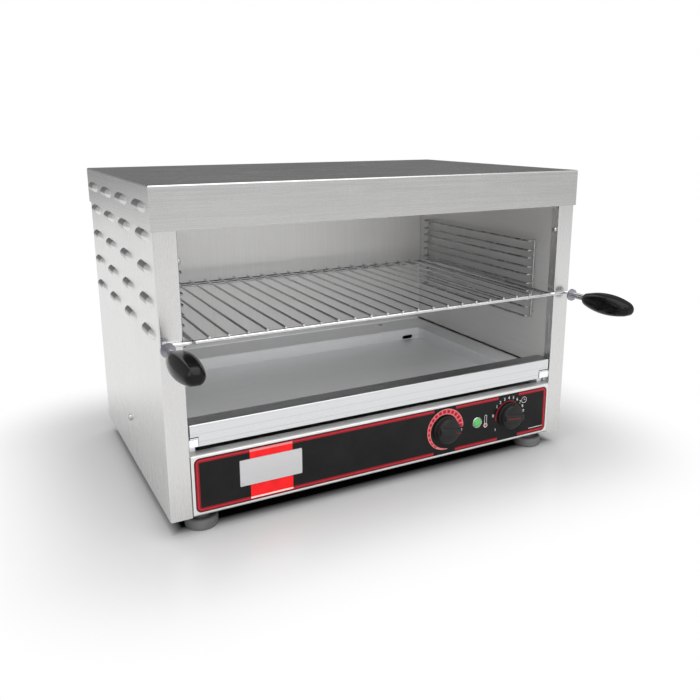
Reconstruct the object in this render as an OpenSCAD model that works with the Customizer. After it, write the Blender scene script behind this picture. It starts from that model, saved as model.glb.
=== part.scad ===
// Countertop cheese melter: an open-fronted steel casing with a radiant ceiling
// behind a glass-ceramic pane, a wire shelf on side racks and a slide-out tray.
// Millimetres, +Z up. The origin is on the table under the middle of the whole object,
// from the grips' ends to the gland's. +X is to the right of a person facing the
// controls and -Y is the front.

/* [Casing] */
// Width across the side panels
casing_w = 600; // [570:5:660]
// Depth from the uprights' face to the back panel's face
casing_d = 386; // [380:2:440]
// Height of the casing without its feet
casing_h = 393; // [385:1:430]
// Thickness of the outer sheet
sheet = 1.2; // [1:0.1:1.5]
// Width of the front uprights
upright_w = 27; // [25:1:32]
// Depth of the fold behind each upright
upright_return = 14; // [12:1:17]
// Width of the inward flanges of the side panels
flange_w = 14; // [10:1:18]
// Outside radius of the folds
fold_r = 2; // [1.8:0.1:3]

/* [Cover] */
// Height of the cover's skirt
skirt_h = 49.5; // [46:0.5:56]
// Gap between the skirt and the side panels
cover_gap = 0.8; // [0.5:0.1:1.5]
// Gap between the skirt and the faces in front and behind
cover_seat = 0.3; // [0.2:0.1:0.5]
// Depth of the hem under the fascia
fascia_hem = 12; // [8:1:13]

/* [Louvres] */
// Louvres along the depth
louvre_cols = 4; // [3:1:4]
// Rows of louvres in each side panel
louvre_rows = 4; // [2:1:4]
// Length of a louvre
louvre_l = 52; // [40:1:60]
// Radius of a louvre's hood
louvre_r = 6.2; // [5.5:0.1:7]
// How far the hood's axis lies inside the sheet's face
louvre_sink = 2; // [0.3:0.1:2.4]
// Length of the hood's front part, which slopes down to the sheet
louvre_slope = 20; // [10:1:26]
// Wall of the hood
louvre_wall = 1; // [0.8:0.1:1.2]
// Middle of the first column behind the uprights' face
louvre_front = 40; // [36:1:48]
// Middle of the last column in front of the back panel
louvre_rear = 53.5; // [45:0.5:60]
// Drop of the skirt's louvres below the top
louvre_skirt_drop = 25; // [20:1:34]
// Gap between the skirt and the side panels' first row
louvre_gap = 1.8; // [1.5:0.1:12]
// Spacing of the rows
louvre_row_pitch = 37.5; // [24:0.5:40]

/* [Cavity] */
// Depth of the duct between the cavity's back and the casing's back
duct_gap = 24; // [22:1:30]
// Thickness of the cavity's sheet
liner_t = 1; // [0.8:0.1:1.2]
// Gap between the liner's lower edge and the tray's rim
liner_gap = 2; // [1.5:0.5:4]
// Height of the ceiling above the fascia's lower edge
ceiling_rise = 1.5; // [1:0.5:4]
// Hole in the rear ledge
ledge_hole_d = 10; // [6:1:14]
// Distance between the holes in the rear ledge
ledge_hole_span = 364; // [300:2:380]
// Head of the small stop screws beside the opening
stop_screw_d = 8; // [6:0.5:10]
// Drop of the stop screws below the top
stop_screw_drop = 84; // [80:1:120]

/* [Radiant ceiling] */
// Thickness of the glass-ceramic pane
glass_t = 4; // [4:0.5:6]
// Width of the frame round the glass
frame_w = 26; // [20:1:34]
// Overlap of the glass on its frame
glass_lap = 8; // [5:1:12]
// Number of heaters
heater_n = 3; // [2:1:3]
// Distance of the heaters inside the edge of the glass
heater_margin = 27; // [20:1:60]
// Distance of the heaters' ends inside the edge of the glass
heater_end = 21.3; // [17:0.1:36]
// Height of a heater
heater_h = 20; // [18:1:22]
// Thickness of a heater's insulation
insulation_t = 10; // [8:0.5:11]
// Height of the heating ribbon
ribbon_h = 5; // [3:0.5:6]
// Thickness of the heating ribbon
ribbon_t = 1; // [0.8:0.1:1.4]
// Passes of ribbon in a heater
ribbon_passes = 8; // [4:2:8]

/* [Shelf] */
// Gap between the shelf's side wires and the cavity's sides
shelf_gap = 8; // [8:0.5:20]
// Distance of the shelf's rear wire before the cavity's back
shelf_rear = 44; // [36:1:60]
// Drop of the shelf's frame below the top
shelf_drop = 176; // [172:1:184]
// Diameter of the shelf's frame wire
frame_wire_d = 5; // [4:0.5:6]
// Diameter of the shelf's cross wires
cross_wire_d = 3; // [2.5:0.5:4]
// Number of cross wires
cross_wire_n = 22; // [16:2:22]
// Distance of the outermost cross wires inside the side wires
cross_margin = 17.8; // [14:0.1:30]
// Distance of the front bar's axis before the uprights' face
shelf_front = 4; // [3.5:0.5:6]
// Distance of the rear tie wire before the rear wire
tie_wire_back = 16; // [12:1:30]
// Bend radius of the frame at the rear corners
rear_bend_r = 12; // [8:1:16]
// Bend radius of the handle's two bends
handle_bend_r = 7; // [6:0.5:9]

/* [Handles] */
// Distance of a handle's axis outside the shelf's side wire
handle_out = 31.5; // [28:0.5:33.5]
// Length of a grip
grip_l = 84; // [76:1:100]
// Width of a grip
grip_w = 32; // [28:1:36]
// Thickness of a grip
grip_h = 27; // [24:1:30]
// Distance of the grip's root before the uprights' face
grip_front = 40; // [38:1:50]
// Diameter of the guard discs
guard_d = 17; // [15:0.5:20]
// Thickness of the guard discs
guard_t = 2.5; // [2:0.5:4]
// Distance of the guard discs before the uprights' face
guard_front = 15; // [14:0.5:20]
// Diameter of the second rod in a handle
tail_rod_d = 3.6; // [3:0.2:4]
// Depth of the rods in a grip
rod_reach = 40; // [30:1:50]

/* [Side racks] */
// Diameter of the rack's wires
rack_wire_d = 3; // [2.5:0.5:3.5]
// Diameter of the rack's posts
rack_post_d = 3.2; // [3:0.1:4.5]
// Distance of the front posts behind the uprights' face
rack_front = 45; // [40:1:70]
// Distance of the rear posts before the cavity's back
rack_rear = 32; // [30:1:60]
// How far the runners stand inside the shelf's side wires
runner_inset = 3; // [1:0.5:4]
// Spacing of the shelf's levels
level_pitch = 25; // [22:0.5:27]
// Distance from a runner up to the wire over it
tip_gap = 11.5; // [11:0.5:13]
// Levels above the one that the shelf is in
levels_over = 2; // [1:1:2]
// Levels below the one that the shelf is in
levels_under = 1; // [0:1:1]
// Distance of the rack's outer rails from the nearest wires
rail_gap = 14; // [10:0.5:15]

/* [Tray] */
// Thickness of the tray's sheet
tray_t = 1; // [0.8:0.1:1.2]
// Depth that the tray leaves free for the ledge behind it
ledge_depth = 60; // [54:1:80]
// Height of the pan from its underside to its rim
pan_h = 19.5; // [18:0.5:22]
// Width of the pan's side flanges
pan_flange = 38; // [30:1:44]
// Clearance under the pan
pan_clear = 1.5; // [1:0.5:3]
// Gap at each side of the tray
tray_side_gap = 1.6; // [1:0.1:3]
// Height of the tray's front bar
lip_h = 28; // [24:1:30]
// Depth of the tray's front bar
lip_d = 24; // [20:1:28]
// Distance of the front bar behind the uprights' face
lip_setback = 2; // [1:0.5:4]
// Height of the front bar above the control panel's ledge
lip_gap = 10.5; // [9:0.5:13]
// Height of the notches in the front bar
notch_h = 12.5; // [10:0.5:15]
// Width of the notch at the left
notch_left = 10; // [8:1:14]
// Width of the notch at the right
notch_right = 18; // [14:1:20]
// Width of the tray's runners
guide_w = 10; // [8:0.5:10]
// Gap between the control panel's ledge and the runners' bodies
guide_gap = 0.5; // [0.4:0.1:5]
// Gap beside the left runner's nose in its notch
nose_gap_left = 0.5; // [0.4:0.1:3]
// Gap beside the right runner's nose in its notch
nose_gap_right = 2.4; // [0.4:0.1:5]

/* [Control panel] */
// Height of the control panel
panel_h = 76.5; // [72:0.5:80]
// Gap under the control panel
panel_gap = 1.5; // [1.4:0.1:3]
// Depth of the control panel's ledge
ledge_d = 15; // [12:1:18]
// Border of bare steel round the overlay
overlay_border = 3.5; // [3:0.5:6]
// Thickness of the overlay
overlay_t = 0.4; // [0.3:0.1:0.6]
// Corner radius of the overlay
overlay_r = 7; // [4:0.5:12]
// Height of the control axes above the panel's lower edge
axis_h = 40; // [36:0.5:42]
// Distance of the timer knob inside the panel's right end
timer_in = 73.2; // [60:0.1:90]
// Distance of the pilot light left of the timer knob
pilot_apart = 58.5; // [50:0.5:62]
// Distance of the power knob left of the pilot light
power_apart = 54; // [44:0.5:70]
// Pilot light's lens diameter
pilot_d = 13; // [10:0.5:15]
// Distance of the badge plate's middle inside the panel's left end
badge_in = 99.7; // [82:0.1:120]
// Badge plate's width
badge_w = 82; // [60:1:90]
// Badge plate's height
badge_h = 34; // [26:1:40]
// Badge plate's thickness
badge_t = 1; // [0.6:0.1:1.5]

/* [Knobs] */
// Diameter of a knob's foot
knob_d = 40; // [34:1:44]
// Height of a knob's round body
knob_body_h = 10; // [8:0.5:12]
// Height of a knob's grip bar above its body
knob_bar_h = 5.5; // [4:0.5:8]
// Width of a knob's grip bar
knob_bar_w = 9; // [7:0.5:12]
// Gap between a knob and the overlay
knob_gap = 0.8; // [0.5:0.1:1.5]
// Diameter of the control shafts
shaft_d = 6; // [5:0.5:7]
// Running clearance round a shaft
shaft_clear = 0.05; // [0.03:0.01:0.1]
// Direction of the power knob's pointer, clockwise from the top
power_rest = 100; // [90:1:110]
// Direction of the timer knob's pointer, clockwise from the top
timer_rest = 275; // [265:1:285]

/* [Feet] */
// Height of the casing above the table
foot_h = 23; // [21:0.5:30]
// Diameter of the foot pads
foot_d = 42; // [34:1:46]
// Height of the foot pads
foot_pad_h = 14; // [10:0.5:15]
// Distance of the feet's axes inside the casing's sides
foot_inset_x = 43; // [30:1:60]
// Distance of the feet's axes inside the casing's front and back
foot_inset_y = 25; // [24:1:60]
// Diameter of the foot studs
stud_d = 8; // [6:0.5:10]

/* [Hidden] */
$fn = 48;
eps = 0.01;
face_gap = 0.3;
weld_gap = 0.05;
half_w = casing_w / 2;
opening_half = half_w - upright_w;
cavity_d = casing_d - duct_gap;
top_z = foot_h + casing_h;
under_cover = top_z - sheet;
opening_top = top_z - skirt_h;
cover_half = half_w + cover_gap + sheet;
cover_y0 = -cover_seat - sheet;
cover_y1 = casing_d + cover_seat + sheet;
screw_clear = 0.2;
side_screw_d = 5;
side_screw_l = 8;
side_head_d = 9;
side_head_h = 3.4;
stop_head_h = 3.2;
side_screw_y = 200;
side_screw_z = foot_h + 63;
small_screw_d = 4;
small_head_d = 7;
small_head_h = 2.4;
small_screw_l = 7;
back_screw_x = half_w - flange_w / 2;
back_screw_z = [foot_h + 40, under_cover - 80];
cover_screw_x = half_w - 60;
cover_screw_z = opening_top + 12;
base_screw_in = 100;
base_screw_x = half_w - base_screw_in;
base_screw_y = ledge_d / 2 + 2;
vent_w = 6;
vent_l = 56;
vent_pitch = 26;
vent_low = 105;
vent_drop = 130;
vent_z = [foot_h + vent_low, top_z - vent_drop];
base_vent_w = 5;
base_vent_l = 46;
base_vent_pitch = 24;

louvre_pitch = (casing_d - louvre_front - louvre_rear) / (louvre_cols - 1);
louvre_half = sqrt(louvre_r * louvre_r - louvre_sink * louvre_sink);

panel_z0 = foot_h + panel_gap;
panel_top = panel_z0 + panel_h;
panel_half = opening_half - face_gap;
axis_z = panel_z0 + axis_h;
timer_x = panel_half - timer_in;
pilot_x = timer_x - pilot_apart;
power_x = pilot_x - power_apart;
badge_x = panel_half - badge_in;

pan_z0 = panel_top + pan_clear;
rim_top = pan_z0 + pan_h;
tray_half = opening_half - tray_side_gap;
tray_y0 = lip_setback;
tray_y1 = cavity_d - ledge_depth;
recess_half = tray_half - pan_flange;
recess_y0 = tray_y0 + lip_d + 4;
lip_z0 = panel_top + lip_gap;
lip_z1 = lip_z0 + lip_h;
pan_slot_w = 6.4;
pan_slot_l = 21;
pan_slot_in = 23.6;
pan_slot_up = 5;
guide_top = rim_top - tray_t - face_gap;
guide_y0 = ledge_d + guide_gap;
guide_y1 = tray_y1 - 2;
guide_x1 = opening_half - face_gap;
guide_x0 = guide_x1 - guide_w;
nose_y0 = tray_y0 + face_gap;
nose_left_x0 = tray_half - notch_left + nose_gap_left;
nose_right_x0 = tray_half - notch_right + nose_gap_right;

deck_drop = 5.5;
deck_flange_h = 14;
deck_top = panel_top - sheet - deck_drop;
liner_z0 = rim_top + liner_gap;
ceiling_z = opening_top + ceiling_rise;
liner_y0 = upright_return + face_gap;
liner_flange = 12;
ledge_rise = 16;
ledge_drop = 9;
ledge_hole_in = 12;

frame_t = 1.5;
frame_h = 12;
frame_corner_r = 10;
glass_corner_r = 8;
frame_y0 = fascia_hem + 1;
frame_y1 = cavity_d - face_gap;
glass_z = ceiling_z + frame_t;
glass_half = opening_half - frame_w + glass_lap;
glass_y0 = frame_y0 + frame_w - glass_lap;
glass_y1 = frame_y1 - frame_w + glass_lap;
heater_z = glass_z + glass_t + face_gap;
heater_gap = 6;
heater_w = (2 * (glass_half - heater_margin) - (heater_n - 1) * heater_gap) / heater_n;
heater_pitch = heater_w + heater_gap;
heater_d = glass_y1 - glass_y0 - 2 * heater_end;
heater_y = (glass_y0 + glass_y1) / 2;
heater_wall = 0.8;
shield_z = heater_z + heater_h + 3;
shield_over = 8;

shelf_z = top_z - shelf_drop;
shelf_half = opening_half - shelf_gap - frame_wire_d / 2;
shelf_y0 = -shelf_front;
shelf_y1 = cavity_d - shelf_rear;
cross_z = shelf_z + (frame_wire_d + cross_wire_d) / 2 + weld_gap;
cross_over = 2.5;
cross_wire_pitch = 2 * (shelf_half - cross_margin) / (cross_wire_n - 1);
tie_wire_d = frame_wire_d - 1;
tie_z = cross_z - (cross_wire_d + tie_wire_d) / 2 - weld_gap;
tie_half = shelf_half - frame_wire_d / 2 - weld_gap;
bar_half = shelf_half - 1.6;
handle_x = shelf_half + handle_out;
tail_z = shelf_z - (frame_wire_d + tail_rod_d) / 2 - weld_gap;
tail_back = 5;
grip_y0 = -grip_front;
grip_y1 = grip_y0 - grip_l;
rod_end = grip_y0 - rod_reach;
rod_fit = 0.02;

runner_x = shelf_half - runner_inset;
runner_z = shelf_z - frame_wire_d / 2 - face_gap - rack_wire_d / 2;
post_x = opening_half - rack_post_d / 2 - 1.5;
rack_y1 = cavity_d - rack_rear;
runner_bend_r = 3.5;
rack_bottom_z = runner_z - levels_under * level_pitch - rail_gap;
rack_top_z = runner_z + levels_over * level_pitch + tip_gap + rail_gap;

foot_x = half_w - foot_inset_x;
foot_y0 = foot_inset_y;
foot_y1 = casing_d - foot_inset_y;
base_y1 = casing_d - 2 * sheet - face_gap;
base_flange_h = 16;
base_rear_flange_h = 12;
nut_af = 13;
nut_h = 5;
pad_socket_z = 6;
stud_reach = 18;
bush_wall = 1.95;
bush_h = 12;
bush_flange_w = 5;
bush_flange_h = 2;

gland_in = 90;
gland_x = gland_in - half_w;
gland_z = foot_h + 38;
gland_d = 16;
gland_nut_af = 24;
gland_bore = 8;
gland_y0 = casing_d + weld_gap;
gland_y1 = gland_y0 + 16;

duct_x = opening_half - 40;
duct_y = cavity_d + 10;
duct_hole_d = 12;
board_z = foot_h + sheet + weld_gap;
block_x = gland_x + 60;
block_y = casing_d - 80;
post_pitch = 12;
post_w = 18;
post_z = board_z + 14;
bush_d = 9.8;
body_y0 = sheet + 2;
power_body_w = 44;
power_body_l = 38;
timer_body_w = 52;
timer_body_l = 34;
blade_l = 9;
wire_d = 3.5;
supply_d = 7;
loom_y = 110;

// The place just behind one blade of a control body.
function blade_end(x, w, l, sx, sz) =
    [x + sx * w * 0.3, body_y0 + l + blade_l + face_gap, axis_z + sz * w * 0.25];

// ---- Helpers ----

// The modules below measure Y from the uprights' face; this moves them to the origin.
module placed() {
    translate([0, -(grip_y1 + gland_y1) / 2, 0]) children();
}

module both_sides() {
    children();
    mirror([1, 0, 0]) children();
}

// A cylinder along Y from y0 to y1.
module rod_y(d, y0, y1) {
    translate([0, y0, 0]) rotate([-90, 0, 0]) cylinder(d = d, h = y1 - y0);
}

// A cylinder along X from x0 to x1.
module rod_x(d, x0, x1) {
    translate([x0, 0, 0]) rotate([0, 90, 0]) cylinder(d = d, h = x1 - x0);
}

// A quarter bend of wire in the XY plane round its centre, from angle a to a + 90.
module bend_xy(d, r, a) {
    rotate([0, 0, a]) rotate_extrude(angle = 90) translate([r, 0]) circle(d = d);
}

// A quarter ring: the outside of a fold of thickness t.
module fold_2d(r, t) {
    intersection() {
        difference() {
            circle(r = r);
            circle(r = r - t);
        }
        translate([-r, -r]) square(r);
    }
}

// A rectangle with its two top corners rounded.
module arch_2d(x0, x1, h, r) {
    translate([x0, 0]) square([x1 - x0, h - r]);
    translate([x0 + r, 0]) square([x1 - x0 - 2 * r, h]);
    translate([x0 + r, h - r]) circle(r = r);
    translate([x1 - r, h - r]) circle(r = r);
}

// A rectangle with four rounded corners, centred.
module round_rect_2d(w, h, r) {
    square([w - 2 * r, h], center = true);
    square([w, h - 2 * r], center = true);
    for (x = [-1, 1], y = [-1, 1])
        translate([x * (w / 2 - r), y * (h / 2 - r)]) circle(r = r);
}

// A slot with round ends, centred, its length along Y.
module slot_2d(w, l) {
    square([w, l - w], center = true);
    for (s = [-1, 1]) translate([0, s * (l - w) / 2]) circle(d = w);
}

// A screw with a round head that stands on the face x = 0 and points to -X.
module pan_screw(head_d, head_h, shank_d, shank_l) {
    difference() {
        union() {
            rotate([0, 90, 0]) cylinder(d1 = head_d, d2 = head_d * 0.75, h = head_h);
            rod_x(shank_d, -shank_l, eps);
        }
        translate([head_h - 0.8, 0, 0]) rod_x(head_d * 0.3, 0, 2);
    }
}

// ---- Casing ----

// The outside or inside form of a louvre along Y: a cylinder behind, then a cone that
// slopes down until it dips into the sheet.
module louvre_form(inset, rear) {
    r = louvre_r - inset;
    translate([-louvre_sink, -louvre_l / 2 + louvre_slope, 0]) {
        rod_y(2 * r, 0, louvre_l - louvre_slope + rear);
        rotate([90, 0, 0]) cylinder(r1 = r, r2 = r * louvre_sink / louvre_r, h = louvre_slope);
    }
}

// A hood that stands on a face x = 0 and bulges to +X.
module louvre_hood() {
    intersection() {
        difference() {
            louvre_form(0, 0);
            louvre_form(louvre_wall, 1);
        }
        translate([-sheet / 2, -louvre_l, -louvre_r]) cube([2 * louvre_r, 2 * louvre_l, 2 * louvre_r]);
    }
}

// The opening through the sheet behind a hood.
module louvre_opening() {
    intersection() {
        louvre_form(louvre_wall, 0);
        translate([-2 * louvre_r, -louvre_l / 2, -louvre_r]) cube([4 * louvre_r, louvre_l, 2 * louvre_r]);
    }
}

module louvre_row() {
    for (c = [0 : louvre_cols - 1]) translate([0, louvre_front + c * louvre_pitch, 0]) children();
}

module side_louvres() {
    for (r = [0 : louvre_rows - 1])
        translate([half_w, 0, opening_top - louvre_gap - louvre_half - r * louvre_row_pitch])
            louvre_row() children();
}

// The plan of a side panel: upright, return, side and rear flange, folded from one sheet.
module side_plan_2d() {
    translate([opening_half, fold_r]) square([sheet, upright_return - fold_r]);
    translate([opening_half + fold_r, 0]) square([upright_w - 2 * fold_r, sheet]);
    translate([half_w - sheet, fold_r]) square([sheet, casing_d - fold_r]);
    translate([half_w - flange_w, casing_d - 2 * sheet]) square([flange_w - eps, sheet]);
    translate([opening_half + fold_r, fold_r]) fold_2d(fold_r, sheet);
    translate([half_w - fold_r, fold_r]) mirror([1, 0]) fold_2d(fold_r, sheet);
}

module side_panel() {
    difference() {
        union() {
            translate([0, 0, foot_h]) linear_extrude(under_cover - sheet / 2 - foot_h) side_plan_2d();
            translate([half_w - flange_w, liner_y0, under_cover - sheet])
                cube([flange_w - eps, casing_d - liner_y0 - sheet, sheet]);
        }
        side_louvres() louvre_opening();
        translate([half_w - 2 * sheet, side_screw_y, side_screw_z])
            rod_x(side_screw_d + screw_clear, 0, 3 * sheet);
        translate([opening_half - sheet, upright_return / 2, top_z - stop_screw_drop])
            rod_x(small_screw_d + screw_clear, 0, 3 * sheet);
        for (z = back_screw_z) translate([back_screw_x, 0, z])
            rod_y(small_screw_d + screw_clear, casing_d - 3 * sheet, casing_d);
    }
    side_louvres() louvre_hood();
}

module side_panel_right() {
    color([0.82, 0.82, 0.81]) placed() side_panel();
}

module side_panel_left() {
    color([0.88, 0.88, 0.87]) placed() mirror([1, 0, 0]) side_panel();
}

module back_panel() {
    color([0.72, 0.72, 0.71]) placed() difference() {
        translate([-half_w + sheet + face_gap, casing_d - sheet, foot_h + 0.5])
            cube([casing_w - 2 * (sheet + face_gap), sheet, under_cover - fold_r - foot_h]);
        for (i = [-7 : 7], z = vent_z)
            translate([i * vent_pitch, casing_d + 1, z]) rotate([90, 0, 0]) linear_extrude(2 * sheet + 1)
                slot_2d(vent_w, vent_l);
        translate([gland_x, 0, gland_z]) rod_y(gland_d + screw_clear, casing_d - 2 * sheet, casing_d + 1);
        both_sides() for (z = back_screw_z) translate([back_screw_x, 0, z])
            rod_y(small_screw_d + screw_clear, casing_d - 2 * sheet, casing_d + 1);
    }
}

// The inside or outside form of the cover: two arched prisms crossed, so that every
// top edge is rounded.
module cover_form(inset, z0) {
    r = fold_r - inset;
    h = top_z - inset - z0;
    intersection() {
        translate([0, cover_y1 + 1, z0]) rotate([90, 0, 0]) linear_extrude(cover_y1 - cover_y0 + 2)
            arch_2d(-cover_half + inset, cover_half - inset, h, r);
        translate([-cover_half - 1, 0, z0]) rotate([90, 0, 90]) linear_extrude(2 * cover_half + 2)
            arch_2d(cover_y0 + inset, cover_y1 - inset, h, r);
    }
}

module skirt_louvres() {
    both_sides() translate([cover_half, 0, top_z - louvre_skirt_drop]) louvre_row() children();
}

module top_cover() {
    color([0.62, 0.62, 0.61]) placed() {
        difference() {
            cover_form(0, opening_top);
            cover_form(sheet, opening_top - 1);
            skirt_louvres() louvre_opening();
            for (s = [-1, 0, 1]) translate([s * cover_screw_x, 0, cover_screw_z])
                rod_y(small_screw_d + screw_clear, casing_d, cover_y1 + 1);
        }
        skirt_louvres() louvre_hood();
        translate([-opening_half + face_gap, cover_y0 + sheet - eps, opening_top])
            cube([2 * (opening_half - face_gap), fascia_hem - cover_y0 - sheet, sheet]);
    }
}

module foot_places() {
    for (x = [-foot_x, foot_x], y = [foot_y0, foot_y1]) translate([x, y, 0]) children();
}

module base_plate() {
    w = half_w - sheet - face_gap;
    y0 = 2 * sheet + face_gap;
    y_wide = upright_return + 2;
    color([0.6, 0.6, 0.6]) placed() difference() {
        union() {
            translate([-opening_half + 1, y0, foot_h]) cube([2 * opening_half - 2, base_y1 - y0, sheet]);
            translate([-w, y_wide, foot_h]) cube([2 * w, base_y1 - y_wide, sheet]);
            for (x = [-w, w - sheet])
                translate([x, y_wide, foot_h]) cube([sheet, base_y1 - y_wide, base_flange_h]);
            translate([-w, base_y1 - sheet, foot_h]) cube([2 * w, sheet, base_rear_flange_h]);
        }
        foot_places() translate([0, 0, foot_h - 1])
            cylinder(d = stud_d + 2 * (bush_wall + weld_gap), h = sheet + 2);
        for (i = [-8 : 8], y = [casing_d * 0.35, casing_d * 0.65])
            translate([i * base_vent_pitch, y, foot_h - 1]) linear_extrude(sheet + 2)
                slot_2d(base_vent_w, base_vent_l);
        for (x = [-1, 0, 1]) translate([x * base_screw_x, base_screw_y, foot_h - 1])
            cylinder(d = small_screw_d + screw_clear, h = sheet + 2);
    }
}

// ---- Cavity ----

module liner_side() {
    y1 = cavity_d + liner_t;
    difference() {
        union() {
            translate([opening_half, liner_y0, liner_z0])
                cube([liner_t, y1 - liner_y0, ceiling_z - liner_z0]);
            translate([opening_half, liner_y0, liner_z0]) cube([flange_w, y1 - liner_y0, liner_t]);
            translate([opening_half, liner_y0, ceiling_z - liner_t]) cube([flange_w, y1 - liner_y0, liner_t]);
        }
        translate([opening_half + flange_w - 6, liner_y0 - 1, ceiling_z - 3]) cube([20, 20, 5]);
    }
}

module liner_right() {
    color([0.6, 0.6, 0.6]) placed() liner_side();
}

module liner_left() {
    color([0.6, 0.6, 0.6]) placed() mirror([1, 0, 0]) liner_side();
}

module liner_back() {
    w = opening_half - face_gap;
    color([0.7, 0.7, 0.7]) placed() difference() {
        union() {
            translate([-w, cavity_d, liner_z0]) cube([2 * w, liner_t, ceiling_z - liner_z0]);
            translate([-w, cavity_d, ceiling_z - liner_t]) cube([2 * w, liner_flange, liner_t]);
        }
        translate([duct_x, duct_y, ceiling_z - 5]) cylinder(d = duct_hole_d, h = 10);
    }
}

module rear_ledge() {
    y0 = tray_y1 + 1;
    color([0.72, 0.74, 0.76]) placed() difference() {
        union() {
            translate([-tray_half, y0, rim_top - tray_t])
                cube([2 * tray_half, cavity_d + 2 * liner_t + face_gap - y0, tray_t]);
            translate([-recess_half, y0, rim_top - ledge_drop]) cube([2 * recess_half, tray_t, ledge_drop]);
            translate([-tray_half, cavity_d + liner_t + face_gap, rim_top - tray_t])
                cube([2 * tray_half, liner_t, ledge_rise]);
        }
        for (s = [-1, 1])
            translate([s * ledge_hole_span / 2, cavity_d - ledge_hole_in, rim_top - 3 * tray_t])
                cylinder(d = ledge_hole_d, h = 4 * tray_t);
    }
}

// The deck that closes the electrical space below the tray.
module electrics_deck() {
    y0 = sheet + face_gap;
    color([0.55, 0.55, 0.56]) placed() difference() {
        union() {
            translate([-panel_half, y0, deck_top - sheet]) cube([2 * panel_half, base_y1 - y0, sheet]);
            translate([-panel_half, y0, deck_top - sheet]) cube([2 * panel_half, sheet, deck_drop]);
            translate([-panel_half, base_y1 - sheet, deck_top - sheet])
                cube([2 * panel_half, sheet, deck_flange_h]);
        }
        translate([duct_x, duct_y, deck_top - 5]) cylinder(d = duct_hole_d, h = 10);
    }
}

// A short screw through the fold behind each upright.
module stop_screws() {
    color([0.8, 0.8, 0.8]) placed() both_sides()
        translate([opening_half - weld_gap, upright_return / 2, top_z - stop_screw_drop])
            mirror([1, 0, 0]) pan_screw(stop_screw_d, stop_head_h, small_screw_d, small_screw_d);
}

module side_screws() {
    color([0.75, 0.75, 0.75]) placed() both_sides()
        translate([half_w + weld_gap, side_screw_y, side_screw_z])
            pan_screw(side_head_d, side_head_h, side_screw_d, side_screw_l);
}

module back_screws() {
    color([0.75, 0.75, 0.75]) placed() {
        both_sides() for (z = back_screw_z) translate([back_screw_x, casing_d + weld_gap, z])
            rotate([0, 0, 90]) pan_screw(small_head_d, small_head_h, small_screw_d, small_screw_l);
        for (s = [-1, 0, 1]) translate([s * cover_screw_x, cover_y1 + weld_gap, cover_screw_z])
            rotate([0, 0, 90]) pan_screw(small_head_d, small_head_h, small_screw_d, cover_seat + sheet);
    }
}

module base_screws() {
    color([0.7, 0.7, 0.7]) placed() for (x = [-1, 0, 1])
        translate([x * base_screw_x, base_screw_y, foot_h - weld_gap]) rotate([0, 90, 0])
            pan_screw(small_head_d, small_head_h, small_screw_d, 5);
}

// ---- Radiant ceiling ----

module ceiling_frame() {
    w = opening_half - face_gap;
    y_mid = (frame_y0 + frame_y1) / 2;
    d = frame_y1 - frame_y0;
    color([0.55, 0.55, 0.55]) placed() {
        difference() {
            translate([-w, frame_y0, ceiling_z]) cube([2 * w, d, frame_t]);
            translate([0, y_mid, ceiling_z - 1]) linear_extrude(frame_t + 2)
                round_rect_2d(2 * (opening_half - frame_w), d - 2 * frame_w, frame_corner_r);
        }
        difference() {
            translate([-w, frame_y0, ceiling_z]) cube([2 * w, d, frame_h]);
            translate([-w + frame_t, frame_y0 + frame_t, ceiling_z - 1])
                cube([2 * (w - frame_t), d - 2 * frame_t, frame_h + 2]);
        }
    }
}

module glass_ceramic_pane() {
    color([0.12, 0.1, 0.1, 0.9]) placed() translate([0, (glass_y0 + glass_y1) / 2, glass_z])
        linear_extrude(glass_t) round_rect_2d(2 * glass_half, glass_y1 - glass_y0, glass_corner_r);
}

module heater_places() {
    for (i = [0 : heater_n - 1])
        translate([(i - (heater_n - 1) / 2) * heater_pitch, heater_y, heater_z]) children();
}

module heater_trays() {
    color([0.7, 0.7, 0.68]) placed() heater_places() difference() {
        translate([-heater_w / 2, -heater_d / 2, 0]) cube([heater_w, heater_d, heater_h]);
        translate([-heater_w / 2 + heater_wall, -heater_d / 2 + heater_wall, -1])
            cube([heater_w - 2 * heater_wall, heater_d - 2 * heater_wall, heater_h - heater_wall + 1]);
    }
}

module heater_insulation() {
    g = heater_wall + face_gap;
    color([0.93, 0.92, 0.88]) placed() heater_places()
        translate([-heater_w / 2 + g, -heater_d / 2 + g, heater_h - heater_wall - face_gap - insulation_t])
            cube([heater_w - 2 * g, heater_d - 2 * g, insulation_t]);
}

// One flat ribbon that runs to and fro, standing on edge under its insulation.
module heater_ribbons() {
    pitch = (heater_w - 24) / (ribbon_passes - 1);
    run = heater_d - 30 - pitch;
    z0 = heater_h - heater_wall - face_gap - insulation_t - weld_gap - ribbon_h;
    color([0.75, 0.35, 0.2]) placed() heater_places() translate([0, 0, z0]) linear_extrude(ribbon_h) {
        for (i = [0 : ribbon_passes - 1])
            translate([(i - (ribbon_passes - 1) / 2) * pitch - ribbon_t / 2, -run / 2])
                square([ribbon_t, run]);
        for (i = [0 : ribbon_passes - 2])
            translate([(i - (ribbon_passes - 2) / 2) * pitch, (i % 2 == 0 ? 1 : -1) * run / 2])
                rotate(i % 2 == 0 ? 0 : 180) intersection() {
                    difference() {
                        circle(d = pitch + ribbon_t);
                        circle(d = pitch - ribbon_t);
                    }
                    translate([-pitch, 0]) square(2 * pitch);
                }
    }
}

module heat_shield() {
    w = opening_half + shield_over;
    y1 = cavity_d + shield_over;
    y0 = liner_y0 + upright_return;
    color([0.66, 0.66, 0.66]) placed() {
        translate([-w, liner_y0, shield_z]) cube([2 * w, y1 - liner_y0, liner_t]);
        for (x = [-w, w - liner_t])
            translate([x, y0, ceiling_z + face_gap]) cube([liner_t, y1 - y0, shield_z - ceiling_z]);
    }
}

// ---- Side racks ----

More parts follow.
